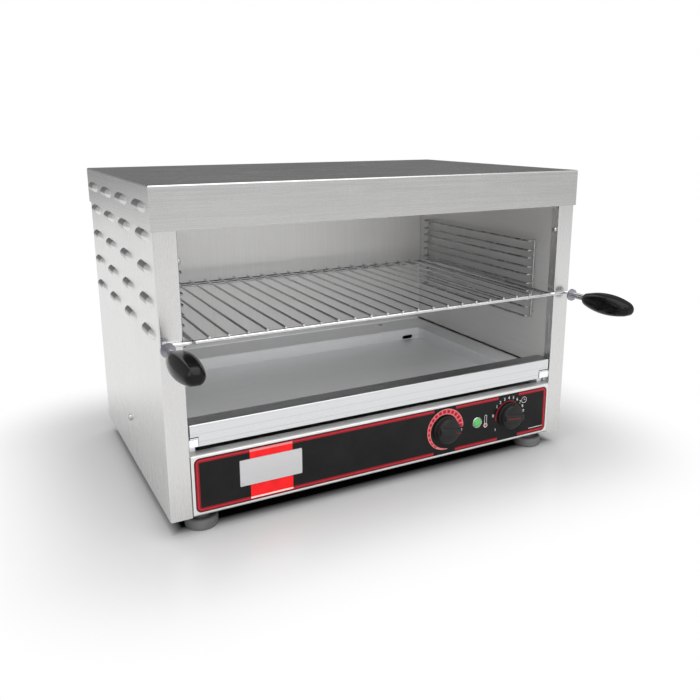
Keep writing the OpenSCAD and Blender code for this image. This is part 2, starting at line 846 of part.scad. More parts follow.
// A runner: out from the front post, back along the cavity and out to the rear post.
module rack_runner(z) {
    translate([0, 0, z]) {
        translate([0, rack_front, 0]) rod_x(rack_wire_d, runner_x + runner_bend_r, post_x);
        translate([0, rack_y1, 0]) rod_x(rack_wire_d, runner_x + runner_bend_r, post_x);
        translate([runner_x, 0, 0]) rod_y(rack_wire_d, rack_front + runner_bend_r, rack_y1 - runner_bend_r);
        translate([runner_x + runner_bend_r, rack_front + runner_bend_r, 0])
            bend_xy(rack_wire_d, runner_bend_r, 180);
        translate([runner_x + runner_bend_r, rack_y1 - runner_bend_r, 0])
            bend_xy(rack_wire_d, runner_bend_r, 90);
    }
}

module side_rack() {
    for (y = [rack_front, rack_y1]) {
        translate([post_x, y, rack_bottom_z - rack_post_d / 2])
            cylinder(d = rack_post_d, h = rack_top_z - rack_bottom_z + rack_post_d);
        for (z = [rack_bottom_z + 7, rack_top_z - 7])
            translate([0, y, z]) rod_x(rack_wire_d, post_x, opening_half);
    }
    for (k = [-levels_under : levels_over]) {
        rack_runner(runner_z + k * level_pitch);
        rack_runner(runner_z + k * level_pitch + tip_gap);
    }
    rack_runner(rack_bottom_z);
    rack_runner(rack_top_z);
}

module rack_right() {
    color([0.75, 0.75, 0.75]) placed() side_rack();
}

module rack_left() {
    color([0.75, 0.75, 0.75]) placed() mirror([1, 0, 0]) side_rack();
}

// ---- Shelf ----

// Half of the frame: rear wire, rear corner, side wire, the bend out in front of the
// upright and the bend forward into the handle.
module shelf_half_frame() {
    bend_y = shelf_y0 + handle_bend_r;
    translate([0, shelf_y1, shelf_z]) rod_x(frame_wire_d, -eps, shelf_half - rear_bend_r);
    translate([shelf_half - rear_bend_r, shelf_y1 - rear_bend_r, shelf_z])
        bend_xy(frame_wire_d, rear_bend_r, 0);
    translate([shelf_half, 0, shelf_z]) rod_y(frame_wire_d, bend_y, shelf_y1 - rear_bend_r);
    translate([shelf_half + handle_bend_r, bend_y, shelf_z]) bend_xy(frame_wire_d, handle_bend_r, 180);
    translate([0, shelf_y0, shelf_z])
        rod_x(frame_wire_d, shelf_half + handle_bend_r, handle_x - handle_bend_r);
    translate([handle_x - handle_bend_r, shelf_y0 - handle_bend_r, shelf_z])
        bend_xy(frame_wire_d, handle_bend_r, 0);
    translate([handle_x, 0, shelf_z]) rod_y(frame_wire_d, rod_end, shelf_y0 - handle_bend_r);
}

module shelf_frame() {
    color([0.85, 0.85, 0.85]) placed() both_sides() shelf_half_frame();
}

// The wire that ties the two side wires under the cross wires.
module shelf_tie_wire() {
    color([0.85, 0.85, 0.85]) placed() translate([0, shelf_y1 - tie_wire_back, tie_z])
        rod_x(tie_wire_d, -tie_half, tie_half);
}

module shelf_front_bar() {
    color([0.9, 0.9, 0.9]) placed() translate([0, shelf_y0, shelf_z])
        rod_x(frame_wire_d, -bar_half, bar_half);
}

module shelf_cross_wires() {
    color([0.85, 0.85, 0.85]) placed() for (i = [0 : cross_wire_n - 1])
        translate([(i - (cross_wire_n - 1) / 2) * cross_wire_pitch, 0, cross_z])
            rod_y(cross_wire_d, shelf_y0 - cross_over, shelf_y1 + cross_over);
}

// The short second rod in each handle, under the frame wire.
module tail_rods() {
    color([0.85, 0.85, 0.85]) placed() both_sides()
        translate([handle_x, 0, tail_z]) rod_y(tail_rod_d, rod_end, -guard_front + tail_back);
}

module guard_discs() {
    color([0.6, 0.6, 0.66]) placed() both_sides() difference() {
        translate([handle_x, 0, (shelf_z + tail_z) / 2]) rod_y(guard_d, -guard_front, -guard_front + guard_t);
        translate([handle_x, 0, shelf_z]) rod_y(frame_wire_d + 2 * rod_fit, -guard_front - 1, 0);
        translate([handle_x, 0, tail_z]) rod_y(tail_rod_d + 2 * rod_fit, -guard_front - 1, 0);
    }
}

// A spindle with a flat top and bottom: a revolved form cut by a lens-shaped side view.
module grip() {
    mid = (grip_y0 + grip_y1) / 2;
    root_r = grip_w * 0.28;
    belly = (pow(grip_l / 2, 2) + pow(grip_w / 2 - root_r, 2)) / (2 * (grip_w / 2 - root_r));
    crown = (pow(grip_l / 2, 2) + pow(grip_h * 0.24, 2)) / (2 * grip_h * 0.24);
    z_mid = (shelf_z + tail_z) / 2;
    translate([handle_x, mid, z_mid]) difference() {
        intersection() {
            rotate([90, 0, 0]) rotate_extrude() intersection() {
                translate([0, -grip_l]) square([grip_w, 2 * grip_l]);
                translate([grip_w / 2 - belly, 0]) circle(r = belly, $fn = 160);
                union() {
                    translate([0, -grip_l / 2 + root_r]) square([grip_w, grip_l - 2 * root_r]);
                    for (s = [-1, 1]) translate([grip_w / 2 - root_r - 1, s * (grip_l / 2 - root_r)])
                        circle(r = root_r);
                    translate([0, -grip_l / 2]) square([grip_w / 2 - root_r - 1, grip_l]);
                }
            }
            rotate([90, 0, 90]) translate([0, 0, -grip_w]) linear_extrude(2 * grip_w) intersection() {
                translate([0, grip_h / 2 - crown]) circle(r = crown, $fn = 160);
                translate([0, crown - grip_h / 2]) circle(r = crown, $fn = 160);
            }
        }
        translate([0, 0, shelf_z - z_mid]) rod_y(frame_wire_d + 2 * rod_fit, rod_end - mid - 0.5, grip_l);
        translate([0, 0, tail_z - z_mid]) rod_y(tail_rod_d + 2 * rod_fit, rod_end - mid - 0.5, grip_l);
    }
}

module grip_right() {
    color([0.1, 0.1, 0.1]) placed() grip();
}

module grip_left() {
    color([0.1, 0.1, 0.1]) placed() mirror([1, 0, 0]) grip();
}

// ---- Tray ----

module tray_pan() {
    wall_out = recess_half + tray_t;
    y0 = tray_y0 + tray_t + face_gap;
    color([0.7, 0.7, 0.7]) placed() {
        difference() {
            translate([-tray_half, y0, rim_top - tray_t]) cube([2 * tray_half, tray_y1 - y0, tray_t]);
            translate([-recess_half, recess_y0, rim_top - tray_t - 1])
                cube([2 * recess_half, tray_y1 - tray_t - recess_y0, tray_t + 2]);
        }
        difference() {
            translate([-wall_out, recess_y0 - tray_t, pan_z0])
                cube([2 * wall_out, tray_y1 - recess_y0 + tray_t, pan_h - tray_t / 2]);
            translate([-recess_half, recess_y0, pan_z0 + tray_t])
                cube([2 * recess_half, tray_y1 - tray_t - recess_y0, pan_h]);
            for (s = [-1, 1])
                translate([s * (recess_half - pan_slot_in), tray_y1 + tray_t, pan_z0 + pan_slot_up])
                    rotate([90, 90, 0]) linear_extrude(3 * tray_t) slot_2d(pan_slot_w, pan_slot_l);
        }
    }
}

// The folded bar across the tray's front, notched at both ends to pass the runners.
module tray_front_bar() {
    y0 = tray_y0;
    color([0.87, 0.89, 0.9]) placed() difference() {
        union() {
            translate([-tray_half, 0, 0]) rotate([90, 0, 90]) linear_extrude(2 * tray_half) {
                translate([y0, lip_z0]) square([tray_t, lip_h - fold_r]);
                translate([y0 + fold_r, lip_z1 - tray_t]) square([lip_d - fold_r, tray_t]);
                translate([y0 + fold_r, lip_z1 - fold_r]) mirror([0, 1]) fold_2d(fold_r, tray_t);
                translate([y0 + lip_d - tray_t, rim_top + weld_gap])
                    square([tray_t, lip_z1 - rim_top - weld_gap]);
            }
            translate([-tray_half + notch_left, y0, lip_z0])
                cube([2 * tray_half - notch_left - notch_right, 8, tray_t]);
        }
        translate([-tray_half - 1, y0 - 1, lip_z0 - 1]) cube([notch_left + 1, 10, notch_h + 1]);
        translate([tray_half - notch_right, y0 - 1, lip_z0 - 1]) cube([notch_right + 1, 10, notch_h + 1]);
    }
}

// A closed box section that stands on the deck and carries one flange of the tray. Its
// nose reaches over the control panel's ledge into a notch of the tray's front bar.
module tray_guide(nose_x0) {
    h = guide_top - deck_top;
    l = guide_y1 - guide_y0;
    nose_w = guide_x1 - nose_x0;
    nose_l = guide_y0 - nose_y0;
    nose_h = guide_top - lip_z0;
    difference() {
        translate([guide_x0, guide_y0, deck_top]) cube([guide_w, l, h]);
        translate([guide_x0 + sheet, guide_y0 + sheet, deck_top - 1])
            cube([guide_w - 2 * sheet, l - 2 * sheet, h - sheet + 1]);
    }
    difference() {
        translate([nose_x0, nose_y0, lip_z0]) cube([nose_w, nose_l + sheet / 2, nose_h]);
        translate([nose_x0 + sheet, nose_y0 + sheet, lip_z0 - 1])
            cube([nose_w - 2 * sheet, nose_l, nose_h - sheet + 1]);
    }
}

module tray_guide_right() {
    color([0.66, 0.68, 0.7]) placed() tray_guide(nose_right_x0);
}

module tray_guide_left() {
    color([0.66, 0.68, 0.7]) placed() mirror([1, 0, 0]) tray_guide(nose_left_x0);
}

// ---- Control panel ----

// The holes for the two controls' bushes and the pilot light.
module control_holes() {
    for (x = [power_x, timer_x]) translate([x, 0, axis_z]) rod_y(bush_d + screw_clear, -5, 5);
    translate([pilot_x, 0, axis_z]) rod_y(pilot_d - 2 + screw_clear, -5, 5);
}

module control_fascia() {
    color([0.78, 0.78, 0.77]) placed() difference() {
        translate([-panel_half, 0, 0]) rotate([90, 0, 90]) linear_extrude(2 * panel_half) {
            translate([0, panel_z0 + fold_r]) square([sheet, panel_h - 2 * fold_r]);
            translate([fold_r, panel_top - sheet]) square([ledge_d - fold_r, sheet]);
            translate([fold_r, panel_z0]) square([ledge_d - fold_r, sheet]);
            translate([fold_r, panel_top - fold_r]) mirror([0, 1]) fold_2d(fold_r, sheet);
            translate([fold_r, panel_z0 + fold_r]) fold_2d(fold_r, sheet);
        }
        control_holes();
        for (x = [-1, 0, 1]) translate([x * base_screw_x, base_screw_y, panel_z0 - 1])
            cylinder(d = small_screw_d + screw_clear, h = 4);
    }
}

module control_overlay() {
    w = 2 * (panel_half - overlay_border);
    h = panel_h - 2 * overlay_border;
    color([0.1, 0.1, 0.1]) placed() difference() {
        translate([0, 0, panel_z0 + panel_h / 2]) rotate([90, 0, 0]) linear_extrude(overlay_t)
            round_rect_2d(w, h, overlay_r);
        control_holes();
    }
}

module badge_plate() {
    color([0.85, 0.85, 0.86]) placed()
        translate([-badge_x, -overlay_t - weld_gap, panel_z0 + panel_h / 2 + 4]) rotate([90, 0, 0])
            linear_extrude(badge_t) round_rect_2d(badge_w, badge_h, 1);
}

module pilot_bezel() {
    y0 = -overlay_t - weld_gap;
    color([0.8, 0.8, 0.8]) placed() translate([pilot_x, 0, axis_z]) difference() {
        union() {
            rod_y(pilot_d + 3, y0 - 1.6, y0);
            rod_y(pilot_d - 2, y0 - 1.6, 12);
        }
        rod_y(pilot_d - 4, -10, 20);
    }
}

module pilot_lens() {
    y0 = -overlay_t - weld_gap - 1.6 - weld_gap;
    color([0.2, 0.75, 0.3]) placed() translate([pilot_x, 0, axis_z]) {
        intersection() {
            translate([0, y0 + pilot_d * 0.55, 0]) sphere(d = pilot_d * 1.48);
            rod_y(pilot_d, y0 - 6, y0);
        }
        rod_y(pilot_d - 4.6, y0 - 0.5, 10);
    }
}

module pilot_body() {
    color([0.9, 0.9, 0.88]) placed() translate([pilot_x, 0, axis_z]) {
        rod_y(pilot_d + 1, 12 + face_gap, 30);
        for (s = [-1, 1]) translate([s * 3, 30 - eps, 0]) blade();
    }
}

// A connecting blade that points to +Y.
module blade() {
    translate([-0.4, 0, -3]) cube([0.8, blade_l, 6]);
}

// A rotary control behind the panel: bush, square body and two rows of blades.
module control_body(w, l) {
    difference() {
        union() {
            rod_y(bush_d, -overlay_t - 0.2, body_y0 + 3);
            translate([-w / 2, body_y0, -w / 2]) cube([w, l, w]);
        }
        rod_y(shaft_d + 2 * shaft_clear, -5, body_y0 + l - 4);
    }
    for (s = [-1, 1], i = [-1, 1]) translate([s * w * 0.3, body_y0 + l - eps, i * w * 0.25]) blade();
}

module power_regulator() {
    color([0.85, 0.83, 0.78]) placed() translate([power_x, 0, axis_z])
        control_body(power_body_w, power_body_l);
}

module timer_body() {
    color([0.75, 0.75, 0.76]) placed() translate([timer_x, 0, axis_z])
        control_body(timer_body_w, timer_body_l);
}

// A shaft with a flat on the end that the knob holds.
module control_shaft() {
    difference() {
        rod_y(shaft_d, -knob_gap - overlay_t - knob_body_h + 3, sheet + 26);
        translate([-shaft_d / 2, -40, shaft_d / 2 - 1]) cube([shaft_d, 40 - overlay_t - knob_gap - 1, 2]);
    }
}

module power_shaft() {
    color([0.75, 0.75, 0.76]) placed() translate([power_x, 0, axis_z])
        rotate([0, power_rest, 0]) control_shaft();
}

module timer_shaft() {
    color([0.75, 0.75, 0.76]) placed() translate([timer_x, 0, axis_z])
        rotate([0, timer_rest, 0]) control_shaft();
}

// A round knob with a bar across its face and a pointer groove; the bar points up.
module control_knob() {
    y0 = -overlay_t - knob_gap;
    r = knob_d / 2;
    difference() {
        union() {
            translate([0, y0, 0]) rotate([90, 0, 0]) rotate_extrude() difference() {
                union() {
                    square([r, 2]);
                    square([r - 1.5, knob_body_h - 2]);
                    square([r - 3.5, knob_body_h]);
                    translate([r - 3.5, knob_body_h - 2]) circle(r = 2);
                }
                translate([0, -1]) square([r - 6, 3]);
            }
            intersection() {
                translate([0, y0, 0]) rod_y(2 * r - 3, -knob_body_h - knob_bar_h, -3);
                translate([0, y0 - knob_body_h, 0]) rotate([90, 0, 0])
                    translate([0, 0, -4]) linear_extrude(knob_bar_h + 4)
                        round_rect_2d(knob_bar_w, 2 * r - 4, 2);
            }
            translate([0, y0, 0]) rod_y(shaft_d + 5, -knob_body_h + 1, -0.2);
        }
        difference() {
            rod_y(shaft_d + 2 * rod_fit, y0 - knob_body_h + 2.6, 1);
            translate([-shaft_d, y0 - knob_body_h, shaft_d / 2 - 1 + rod_fit])
                cube([2 * shaft_d, knob_body_h - 1, 4]);
        }
        translate([-0.5, y0 - knob_body_h - knob_bar_h - 1, 2]) cube([1, 1.6, r]);
    }
}

module power_knob() {
    color([0.09, 0.09, 0.09]) placed() translate([power_x, 0, axis_z])
        rotate([0, power_rest, 0]) control_knob();
}

module timer_knob() {
    color([0.09, 0.09, 0.09]) placed() translate([timer_x, 0, axis_z])
        rotate([0, timer_rest, 0]) control_knob();
}

// ---- Electrical parts on the base ----

module safety_thermostat() {
    color([0.85, 0.8, 0.7]) placed() translate([20, 60, board_z]) {
        translate([-18, -14, 0]) cube([36, 28, 24]);
        translate([0, 0, 24 - eps]) cylinder(d = 14, h = 6);
        for (s = [-1, 1]) translate([s * 10, 14 - eps, 10]) blade();
    }
}

module terminal_block() {
    color([0.9, 0.9, 0.86]) placed() translate([block_x, block_y, board_z]) {
        translate([-32, -12, 0]) cube([64, 24, 8]);
        for (i = [-2 : 2]) difference() {
            translate([i * post_pitch - 5, -post_w / 2, 8 - eps]) cube([10, post_w, 12]);
            translate([i * post_pitch, 0, post_z - board_z]) rod_y(5, -post_w, post_w);
            translate([i * post_pitch, 0, 12]) cylinder(d = 4, h = 20);
        }
    }
}

module cable_gland() {
    dome_d = gland_nut_af - 5;
    dome_y = gland_y1 - 6;
    color([0.12, 0.12, 0.12]) placed() translate([gland_x, 0, gland_z]) difference() {
        union() {
            rod_y(gland_d, casing_d - 14, gland_y0 + 1);
            translate([0, gland_y0 + 4, 0]) rotate([90, 0, 0]) cylinder(d = gland_nut_af, h = 4, $fn = 6);
            rod_y(dome_d, gland_y0 + 4 - eps, dome_y);
            translate([0, dome_y - eps, 0]) rotate([-90, 0, 0])
                cylinder(d1 = dome_d, d2 = gland_bore + 4, h = 6 + eps);
            translate([0, casing_d - sheet - weld_gap, 0]) rotate([90, 0, 0])
                cylinder(d = gland_nut_af - 2, h = 4, $fn = 6);
        }
        rod_y(gland_bore, casing_d - 20, gland_y1 + 1);
    }
}

// A wire through a list of points, with a round knuckle at each corner.
module wire_run(points, d) {
    for (i = [0 : len(points) - 2]) {
        v = points[i + 1] - points[i];
        translate(points[i]) rotate([0, acos(v[2] / norm(v)), atan2(v[1], v[0])])
            cylinder(d = d, h = norm(v));
        if (i < len(points) - 2) translate(points[i + 1]) sphere(d = d + 0.2);
    }
}

// Supply from the gland to the block, then to the controls and up the rear duct.
module wiring_loom() {
    post = [block_x - 2 * post_pitch, block_y, post_z];
    out = [0, post_w / 2 + face_gap, 0];
    a = blade_end(power_x, power_body_w, power_body_l, -1, -1);
    b = blade_end(power_x, power_body_w, power_body_l, 1, -1);
    c = blade_end(timer_x, timer_body_w, timer_body_l, -1, -1);
    d = blade_end(timer_x, timer_body_w, timer_body_l, 1, 1);
    over_shield = shield_z + liner_t + face_gap + wire_d / 2;
    color([0.75, 0.2, 0.15]) placed() {
        wire_run([[gland_x, casing_d - 10, gland_z], [gland_x, casing_d - 40, gland_z],
                  post + out + [0, 16, 0], post + out], supply_d);
        wire_run([post - out, [post[0], loom_y, post_z], [a[0], loom_y, post_z], a + [0, 20, 0], a], wire_d);
        wire_run([b, b + [0, 40, 0], c + [0, 44, 0], c], wire_d);
        wire_run([d, d + [0, 50, 0], [duct_x, duct_y, deck_top - 14], [duct_x, duct_y, over_shield],
                  [heater_pitch, duct_y - 30, over_shield]], wire_d);
    }
}

// ---- Feet ----

module foot_pad() {
    r = foot_d / 2;
    rotate_extrude() difference() {
        union() {
            square([r - 2, foot_pad_h]);
            translate([0, 2]) square([r - 0.5, foot_pad_h - 5]);
            translate([r - 2.5, 2]) circle(r = 2);
            translate([r - 3.5, foot_pad_h - 3]) circle(r = 3);
        }
        translate([0, pad_socket_z]) square([stud_d / 2 + rod_fit, foot_pad_h]);
        translate([0, foot_pad_h]) square([2 * r, 5]);
    }
}

// A threaded stud with a hexagon above the pad; its end turns in a bush on the base.
module foot_stud() {
    translate([0, 0, pad_socket_z + weld_gap]) cylinder(d = stud_d, h = foot_h + stud_reach - pad_socket_z);
    translate([0, 0, foot_pad_h + weld_gap]) cylinder(d = nut_af / cos(30), h = nut_h, $fn = 6);
}

module foot_front_left() {
    color([0.35, 0.35, 0.35]) placed() translate([-foot_x, foot_y0, 0]) foot_pad();
}

module foot_front_right() {
    color([0.35, 0.35, 0.35]) placed() translate([foot_x, foot_y0, 0]) foot_pad();
}

module foot_rear_left() {
    color([0.35, 0.35, 0.35]) placed() translate([-foot_x, foot_y1, 0]) foot_pad();
}

module foot_rear_right() {
    color([0.35, 0.35, 0.35]) placed() translate([foot_x, foot_y1, 0]) foot_pad();
}

module stud_front_left() {
    color([0.78, 0.78, 0.78]) placed() translate([-foot_x, foot_y0, 0]) foot_stud();
}

module stud_front_right() {
    color([0.78, 0.78, 0.78]) placed() translate([foot_x, foot_y0, 0]) foot_stud();
}

module stud_rear_left() {
    color([0.78, 0.78, 0.78]) placed() translate([-foot_x, foot_y1, 0]) foot_stud();
}

module stud_rear_right() {
    color([0.78, 0.78, 0.78]) placed() translate([foot_x, foot_y1, 0]) foot_stud();
}

// Flanged bushes pressed into the base plate, one round each stud.
module stud_bushes() {
    color([0.7, 0.65, 0.5]) placed() foot_places() difference() {
        union() {
            translate([0, 0, board_z]) cylinder(d = stud_d + 2 * bush_flange_w, h = bush_flange_h);
            translate([0, 0, foot_h]) cylinder(d = stud_d + 2 * bush_wall, h = bush_h);
        }
        translate([0, 0, foot_h - 1]) cylinder(d = stud_d + 2 * shaft_clear, h = bush_h + 2);
    }
}

side_panel_left();
side_panel_right();
back_panel();
top_cover();
base_plate();
liner_left();
liner_right();
liner_back();
rear_ledge();
electrics_deck();
ceiling_frame();
glass_ceramic_pane();
heater_trays();
heater_insulation();
heater_ribbons();
heat_shield();
rack_left();
rack_right();
stop_screws();
side_screws();
back_screws();
base_screws();
tray_guide_left();
tray_guide_right();
control_fascia();
control_overlay();
badge_plate();
power_regulator();
timer_body();
pilot_body();
pilot_bezel();
pilot_lens();
safety_thermostat();
terminal_block();
cable_gland();
wiring_loom();
power_knob();
power_shaft();
timer_knob();
timer_shaft();
shelf_frame();
shelf_tie_wire();
shelf_front_bar();
shelf_cross_wires();
tail_rods();
guard_discs();
grip_left();
grip_right();
tray_pan();
tray_front_bar();
foot_front_left();
foot_front_right();
foot_rear_left();
foot_rear_right();
stud_front_left();
stud_front_right();
stud_rear_left();
stud_rear_right();
stud_bushes();
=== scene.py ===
"""Finishes, fine details and studio for the countertop cheese melter.

Lengths are metres. The fine pieces take their places from the boxes of the solid
model's nodes. +X is right, -Y is the front and +Z is up.
"""

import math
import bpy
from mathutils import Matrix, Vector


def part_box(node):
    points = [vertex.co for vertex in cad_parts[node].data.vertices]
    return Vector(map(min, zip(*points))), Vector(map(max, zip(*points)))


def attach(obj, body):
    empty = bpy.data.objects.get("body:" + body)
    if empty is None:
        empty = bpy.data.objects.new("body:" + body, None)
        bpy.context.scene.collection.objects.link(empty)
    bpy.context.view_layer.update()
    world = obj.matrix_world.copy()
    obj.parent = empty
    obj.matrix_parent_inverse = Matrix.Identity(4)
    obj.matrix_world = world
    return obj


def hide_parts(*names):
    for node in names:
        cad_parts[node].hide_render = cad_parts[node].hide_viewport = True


bl_info = {
    "name": "Cheese melter",
    "version": (1, 0, 0),
    "blender": (4, 5, 0),
    "location": "3D View > Sidebar > Melter",
    "description": "Dresses the cheese melter with louvres, grips, knobs, panel printing and finishes",
    "category": "Object",
}

import bmesh
import bpy
from bpy.props import FloatProperty, FloatVectorProperty, IntProperty, PointerProperty
from mathutils import Matrix, Vector

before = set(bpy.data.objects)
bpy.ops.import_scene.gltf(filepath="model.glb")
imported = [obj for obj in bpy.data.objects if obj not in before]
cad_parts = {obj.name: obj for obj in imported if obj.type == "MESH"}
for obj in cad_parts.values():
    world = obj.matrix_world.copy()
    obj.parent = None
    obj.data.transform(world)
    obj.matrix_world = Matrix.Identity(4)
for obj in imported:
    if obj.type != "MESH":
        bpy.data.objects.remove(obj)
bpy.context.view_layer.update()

MM = 0.001
TINY = 1e-6
WHITE = (1, 1, 1, 1)
QUARTER = math.radians(90)
TO_FRONT = Matrix.Rotation(QUARTER, 4, "X")
TO_BACK = Matrix.Rotation(-QUARTER, 4, "X")
TO_RIGHT = Matrix.Rotation(QUARTER, 4, "Y")
TO_LEFT = Matrix.Rotation(-QUARTER, 4, "Y")


def middle(node):
    """The middle of a solid's box."""
    low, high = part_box(node)
    return (low + high) / 2


FACE_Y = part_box("side_panel_left")[0].y
PANEL_LOW, PANEL_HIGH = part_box("control_overlay")
PRINT_Y = PANEL_LOW.y
BADGE_LOW, BADGE_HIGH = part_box("badge_plate")
POWER = middle("power_shaft")
TIMER = middle("timer_shaft")
PILOT = middle("pilot_bezel")
KNOB_LOW, KNOB_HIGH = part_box("timer_knob")
GRIP_LOW, GRIP_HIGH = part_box("grip_right")
FOOT_LOW, FOOT_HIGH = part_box("foot_front_left")
# how far the louvres stand out of the sheets that they are pressed from
HOOD_STAND = 4.2 * MM
SKIRT_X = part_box("top_cover")[1].x - HOOD_STAND
SKIRT_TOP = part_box("top_cover")[1].z
SIDE_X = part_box("side_panel_right")[1].x - HOOD_STAND


# ---- Sizes and colours that a user would change ----


def a_colour(name, description, default):
    return FloatVectorProperty(
        name=name, description=description, default=default, subtype="COLOR", min=0, max=1,
    )


def a_length(name, description, default, **limits):
    return FloatProperty(name=name, description=description, default=default, unit="LENGTH", **limits)


def a_share(name, description, default, low=0):
    return FloatProperty(
        name=name, description=description, default=default, min=low, max=1, subtype="FACTOR",
    )


def a_turn(name, description, degrees):
    return FloatProperty(
        name=name, description=description, default=math.radians(degrees), subtype="ANGLE",
    )


def a_number(name, description, default, **limits):
    return FloatProperty(name=name, description=description, default=default, **limits)


class MelterSteel(bpy.types.PropertyGroup):
    """The sheet steel and its grain."""

    casing: a_colour("Casing", "Colour of the brushed outer sheet", (0.70, 0.697, 0.69))
    cavity: a_colour("Cavity", "Colour of the cavity's sheet", (0.77, 0.765, 0.755))
    tray: a_colour("Tray", "Colour of the tray's bright sheet", (0.86, 0.875, 0.885))
    wire: a_colour("Wire", "Colour of the drawn wires", (0.70, 0.70, 0.70))
    roughness: a_share("Roughness", "Roughness of the brushed outer sheet", 0.27)
    grain: a_number("Grain", "Brush lines in a metre across the grain", 900, min=50, max=4000)


class MelterLouvres(bpy.types.PropertyGroup):
    """The pressed hoods in both sides."""

    radius: a_length("Radius", "Outside radius of a hood", 6.32 * MM, min=3 * MM, max=12 * MM)
    length: a_length("Length", "Length of a hood", 52 * MM, min=20 * MM, max=80 * MM)
    slope: a_length("Slope", "Length of a hood's sloping nose", 20 * MM, min=4 * MM, max=26 * MM)
    sink: a_length(
        "Sink", "How far the hood's axis lies inside the sheet's face",
        2 * MM, min=0, max=3 * MM,
    )
    flare: a_length(
        "Flare", "Width of the rounded foot where the hood leaves the sheet",
        0.8 * MM, min=0.2 * MM, max=3 * MM,
    )
    wall: a_length(
        "Wall", "Thickness of the hood at its open end", 0.95 * MM, min=0.2 * MM, max=2 * MM,
    )
    columns: IntProperty(
        name="Columns", description="Hoods along the depth", default=4, min=2, max=6,
    )
    rows: IntProperty(
        name="Rows", description="Rows in each side panel", default=4, min=1, max=6,
    )
    first: a_length(
        "First column", "Middle of the first column behind the uprights' face", 40 * MM,
    )
    last: a_length(
        "Last column", "Middle of the last column behind the uprights' face", 332.5 * MM,
    )
    skirt_drop: a_length("Skirt drop", "Drop of the skirt's row below the top", 25 * MM)
    row_drop: a_length(
        "First row drop", "Drop of the side panels' first row below the top", 57.17 * MM,
    )
    row_pitch: a_length("Row pitch", "Spacing of the side panels' rows", 37.5 * MM)


class MelterGrips(bpy.types.PropertyGroup):
    """The two moulded grips."""

    width: a_length("Width", "Width of a grip", GRIP_HIGH.x - GRIP_LOW.x)
    height: a_length("Height", "Thickness of a grip", GRIP_HIGH.z - GRIP_LOW.z)
    length: a_length("Length", "Length of a grip", GRIP_HIGH.y - GRIP_LOW.y)
    flat: a_share(
        "Flat", "Share of a section's half height at which its top and bottom are flat", 0.9, 0.5,
    )
    colour: a_colour("Colour", "Colour of the moulded plastic", (0.005, 0.005, 0.0055))


class MelterKnobs(bpy.types.PropertyGroup):
    """The two control knobs."""

    radius: a_length("Radius", "Radius of a knob's foot", 20 * MM)
    height: a_length("Height", "Height of a knob with its ridge", KNOB_HIGH.y - KNOB_LOW.y)
    bar: a_length("Ridge", "Height of the ridge above the knob's shoulder", 4.4 * MM)
    bar_width: a_length("Ridge width", "Width of the ridge near its crest", 8 * MM)
    power_rest: a_turn("Power", "Direction of the power pointer, clockwise from the top", 100)
    timer_rest: a_turn("Timer", "Direction of the timer pointer, clockwise from the top", 275)
    colour: a_colour("Colour", "Colour of the knobs", (0.012, 0.012, 0.0123))


class MelterPrinting(bpy.types.PropertyGroup):
    """The printing on the control panel."""

    ground: a_colour("Ground", "Colour of the overlay", (0.0085, 0.0085, 0.0085))
    line: a_colour("Line", "Colour of the border lines", (0.43, 0.018, 0.030))
    block: a_colour("Block", "Colour of the block behind the badge plate", (0.74, 0.012, 0.014))
    pink: a_colour("Pink", "Colour of the outline of the power scale", (0.64, 0.20, 0.20))
    white: a_colour("White", "Colour of the numbers and signs", (0.56, 0.56, 0.56))
    film: a_length(
        "Film", "Thickness of the printed film", 0.06 * MM, min=0.01 * MM, max=0.2 * MM,
    )
    number_height: a_length(
        "Number height", "Height of the dial numbers", 4.6 * MM, min=2 * MM, max=8 * MM,
    )
    number_radius: a_length(
        "Number radius", "Radius of the circle on which the timer's numbers stand",
        28.4 * MM, min=20 * MM, max=40 * MM,
    )


class MelterStudio(bpy.types.PropertyGroup):
    """The floor, lamps and camera."""

    camera_place: FloatVectorProperty(
        name="Camera", description="Place of the camera",
        default=(-0.48267, -0.950195, 0.47736), subtype="TRANSLATION", unit="LENGTH",
    )
    camera_turn: FloatVectorProperty(
        name="Turn", description="Turn of the camera",
        default=(math.radians(76.264), 0.0, math.radians(-28.400)), subtype="EULER",
    )
    lens: a_number("Lens", "Focal length in millimetres", 38.773, min=10, max=200)
    shift_x: a_number("Shift X", "Sideways shift of the view", -0.018423)
    shift_y: a_number("Shift Y", "Upward shift of the view", -0.05762)
    sky: a_number("Sky", "Strength of the even light from all round", 0.68, min=0, max=3)
    overhead: a_number(
        "Overhead lamp", "Power of the large lamp overhead, in watts", 30, min=0, max=500,
    )
    left: a_number(
        "Left lamp", "Power of the large lamp at the left, in watts", 11, min=0, max=500,
    )
    front: a_number(
        "Front lamp", "Power of the lamp high in front, in watts", 9, min=0, max=500,
    )
    low: a_number(
        "Low lamp", "Power of the low lamp that lights the cavity, in watts", 24, min=0, max=500,
    )
    floor: a_colour("Floor", "Colour of the floor", (0.58, 0.58, 0.58))


# ---- Workshop helpers ----


def call(obj, name):
    """Names an object and its mesh."""
    obj.name = name
    obj.data.name = name
    return obj


def clear_bench():
    """Object mode, nothing selected."""
    if bpy.context.object and bpy.context.object.mode != "OBJECT":
        bpy.ops.object.mode_set(mode="OBJECT")
    bpy.ops.object.select_all(action="DESELECT")


def take(obj):
    """Only this object selected and active."""
    clear_bench()
    obj.select_set(True)
    bpy.context.view_layer.objects.active = obj


def fresh(name):
    """Names the primitive that was just added and applies its place."""
    obj = call(bpy.context.object, name)
    take(obj)
    bpy.ops.object.transform_apply(location=True, rotation=True, scale=True)
    return obj


def open_mesh(obj):
    take(obj)
    bpy.ops.object.mode_set(mode="EDIT")


def open_whole(obj):
    """Edit mode, everything selected."""
    open_mesh(obj)
    bpy.ops.mesh.select_all(action="SELECT")


